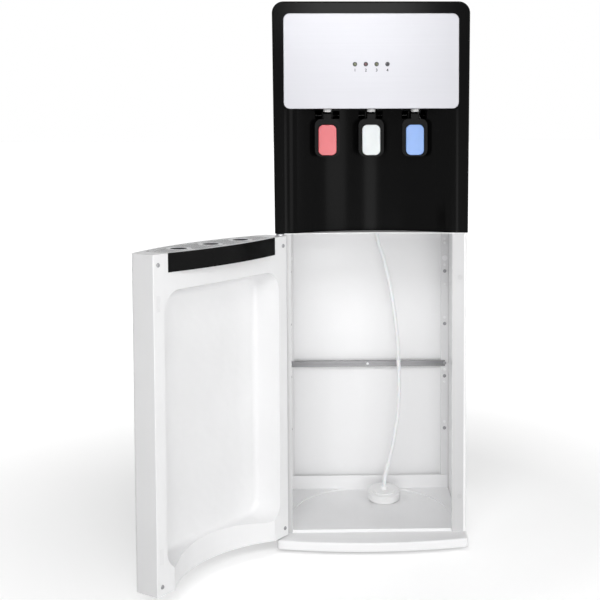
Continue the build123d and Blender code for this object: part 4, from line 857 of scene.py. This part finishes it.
class CoolerStage(bpy.types.Operator):
    """Set the pale floor, the soft lights and the camera"""
    bl_idname = "cooler.stage"
    bl_label = "Stage"

    def execute(self, context):
        settings = context.scene.cooler_stage
        scene = context.scene
        scene.view_settings.view_transform = "Standard"
        camera_data = bpy.data.cameras.new("view")
        camera_data.sensor_width = SENSOR_WIDTH
        camera_data.sensor_fit = "HORIZONTAL"
        camera_data.lens = settings.focal_length
        camera_data.shift_x, camera_data.shift_y = LENS_SHIFT
        camera_data.clip_end = 100
        camera = bpy.data.objects.new("view", camera_data)
        turn = Matrix.Rotation(-settings.turn, 4, "Z")
        tilt = Matrix.Rotation(math.pi / 2 - settings.tilt, 4, "X")
        roll = Matrix.Rotation(settings.roll, 4, "Z")
        camera.matrix_world = Matrix.Translation(Vector(settings.eye)) @ turn @ tilt @ roll
        scene.collection.objects.link(camera)
        scene.camera = camera
        bm = bmesh.new()
        bmesh.ops.create_grid(bm, x_segments=1, y_segments=1, size=FLOOR_REACH)
        mesh = bpy.data.meshes.new("studio_floor")
        bm.to_mesh(mesh)
        bm.free()
        mesh.materials.append(floor_material(settings.floor))
        floor = bpy.data.objects.new("studio_floor", mesh)
        scene.collection.objects.link(floor)
        area_light("high_front", (-0.1, -3.2, 2.4), (0, 0, 0.5), (2.2, 1.0), settings.high_power)
        area_light("key_left", (-0.8, -3.2, 2.0), (0, 0, 0.5), (1.6, 1.2), settings.key_power)
        area_light("side_right", (1.9, -3.2, 0.8), (0, 0, 0.45), (1.1, 1.2), settings.side_power)
        area_light("low_front", (0.2, -2.3, 0.14), (0, 0, 0.4), (2.4, 0.22), settings.low_power)
        area_light("right", (3.2, -0.8, 1.2), (0, 0, 0.5), (1.4, 1.8), settings.right_power)
        area_light("panel_card", (0.05, -3.2, 1.25), (0, 0, 0.9), (0.55, 0.14), settings.card_power)
        area_light("head_card", (0.12, -3.1, 0.45), (0, 0, 0.45), (0.5, 0.7),
                   settings.card_power * HEAD_CARD_SHARE)
        area_light("top", (0, 0.2, 3.2), (0, 0, 0), (2.2, 2.2), settings.top_power)
        area_light("back", (0.6, 3.2, 1.8), (0, 0, 0.6), (2.0, 1.6),
                   settings.top_power * REAR_LIGHT_SHARE)
        studio_world(settings.ambient)
        return {"FINISHED"}


# ---------------------------------------------------------------- panel and registration
class CoolerPanel(bpy.types.Panel):
    """The water cooler's steps and settings"""
    bl_idname = "VIEW3D_PT_cooler"
    bl_label = "Water Cooler"
    bl_space_type = "VIEW_3D"
    bl_region_type = "UI"
    bl_category = "Water Cooler"

    def draw(self, context):
        for step in STEPS:
            self.layout.operator(step.bl_idname)
        for name in SETTINGS:
            group = getattr(context.scene, name)
            box = self.layout.box()
            for key in group.bl_rna.properties.keys():
                if key not in ("rna_type", "name"):
                    box.prop(group, key)


STEPS = (CoolerStage, CoolerHose, CoolerCabinet, CoolerPlugs, CoolerHead, CoolerTaps, CoolerDoor,
         CoolerInternals, CoolerBack)
SETTINGS = {
    "cooler_hose": CoolerHoseSettings,
    "cooler_head": CoolerHeadSettings,
    "cooler_taps": CoolerTapSettings,
    "cooler_cabinet": CoolerCabinetSettings,
    "cooler_back": CoolerBackSettings,
    "cooler_stage": CoolerStageSettings,
}


def register():
    for name, group in SETTINGS.items():
        bpy.utils.register_class(group)
        setattr(bpy.types.Scene, name, PointerProperty(type=group))
    for step in STEPS:
        bpy.utils.register_class(step)
    bpy.utils.register_class(CoolerPanel)


def unregister():
    bpy.utils.unregister_class(CoolerPanel)
    for step in reversed(STEPS):
        bpy.utils.unregister_class(step)
    for name, group in SETTINGS.items():
        delattr(bpy.types.Scene, name)
        bpy.utils.unregister_class(group)


def main():
    register()
    bpy.ops.cooler.stage()
    bpy.ops.cooler.hose()
    bpy.ops.cooler.cabinet()
    bpy.ops.cooler.plugs()
    bpy.ops.cooler.head()
    bpy.ops.cooler.taps()
    bpy.ops.cooler.door()
    bpy.ops.cooler.internals()
    bpy.ops.cooler.back()


if __name__ == "__main__":
    main()
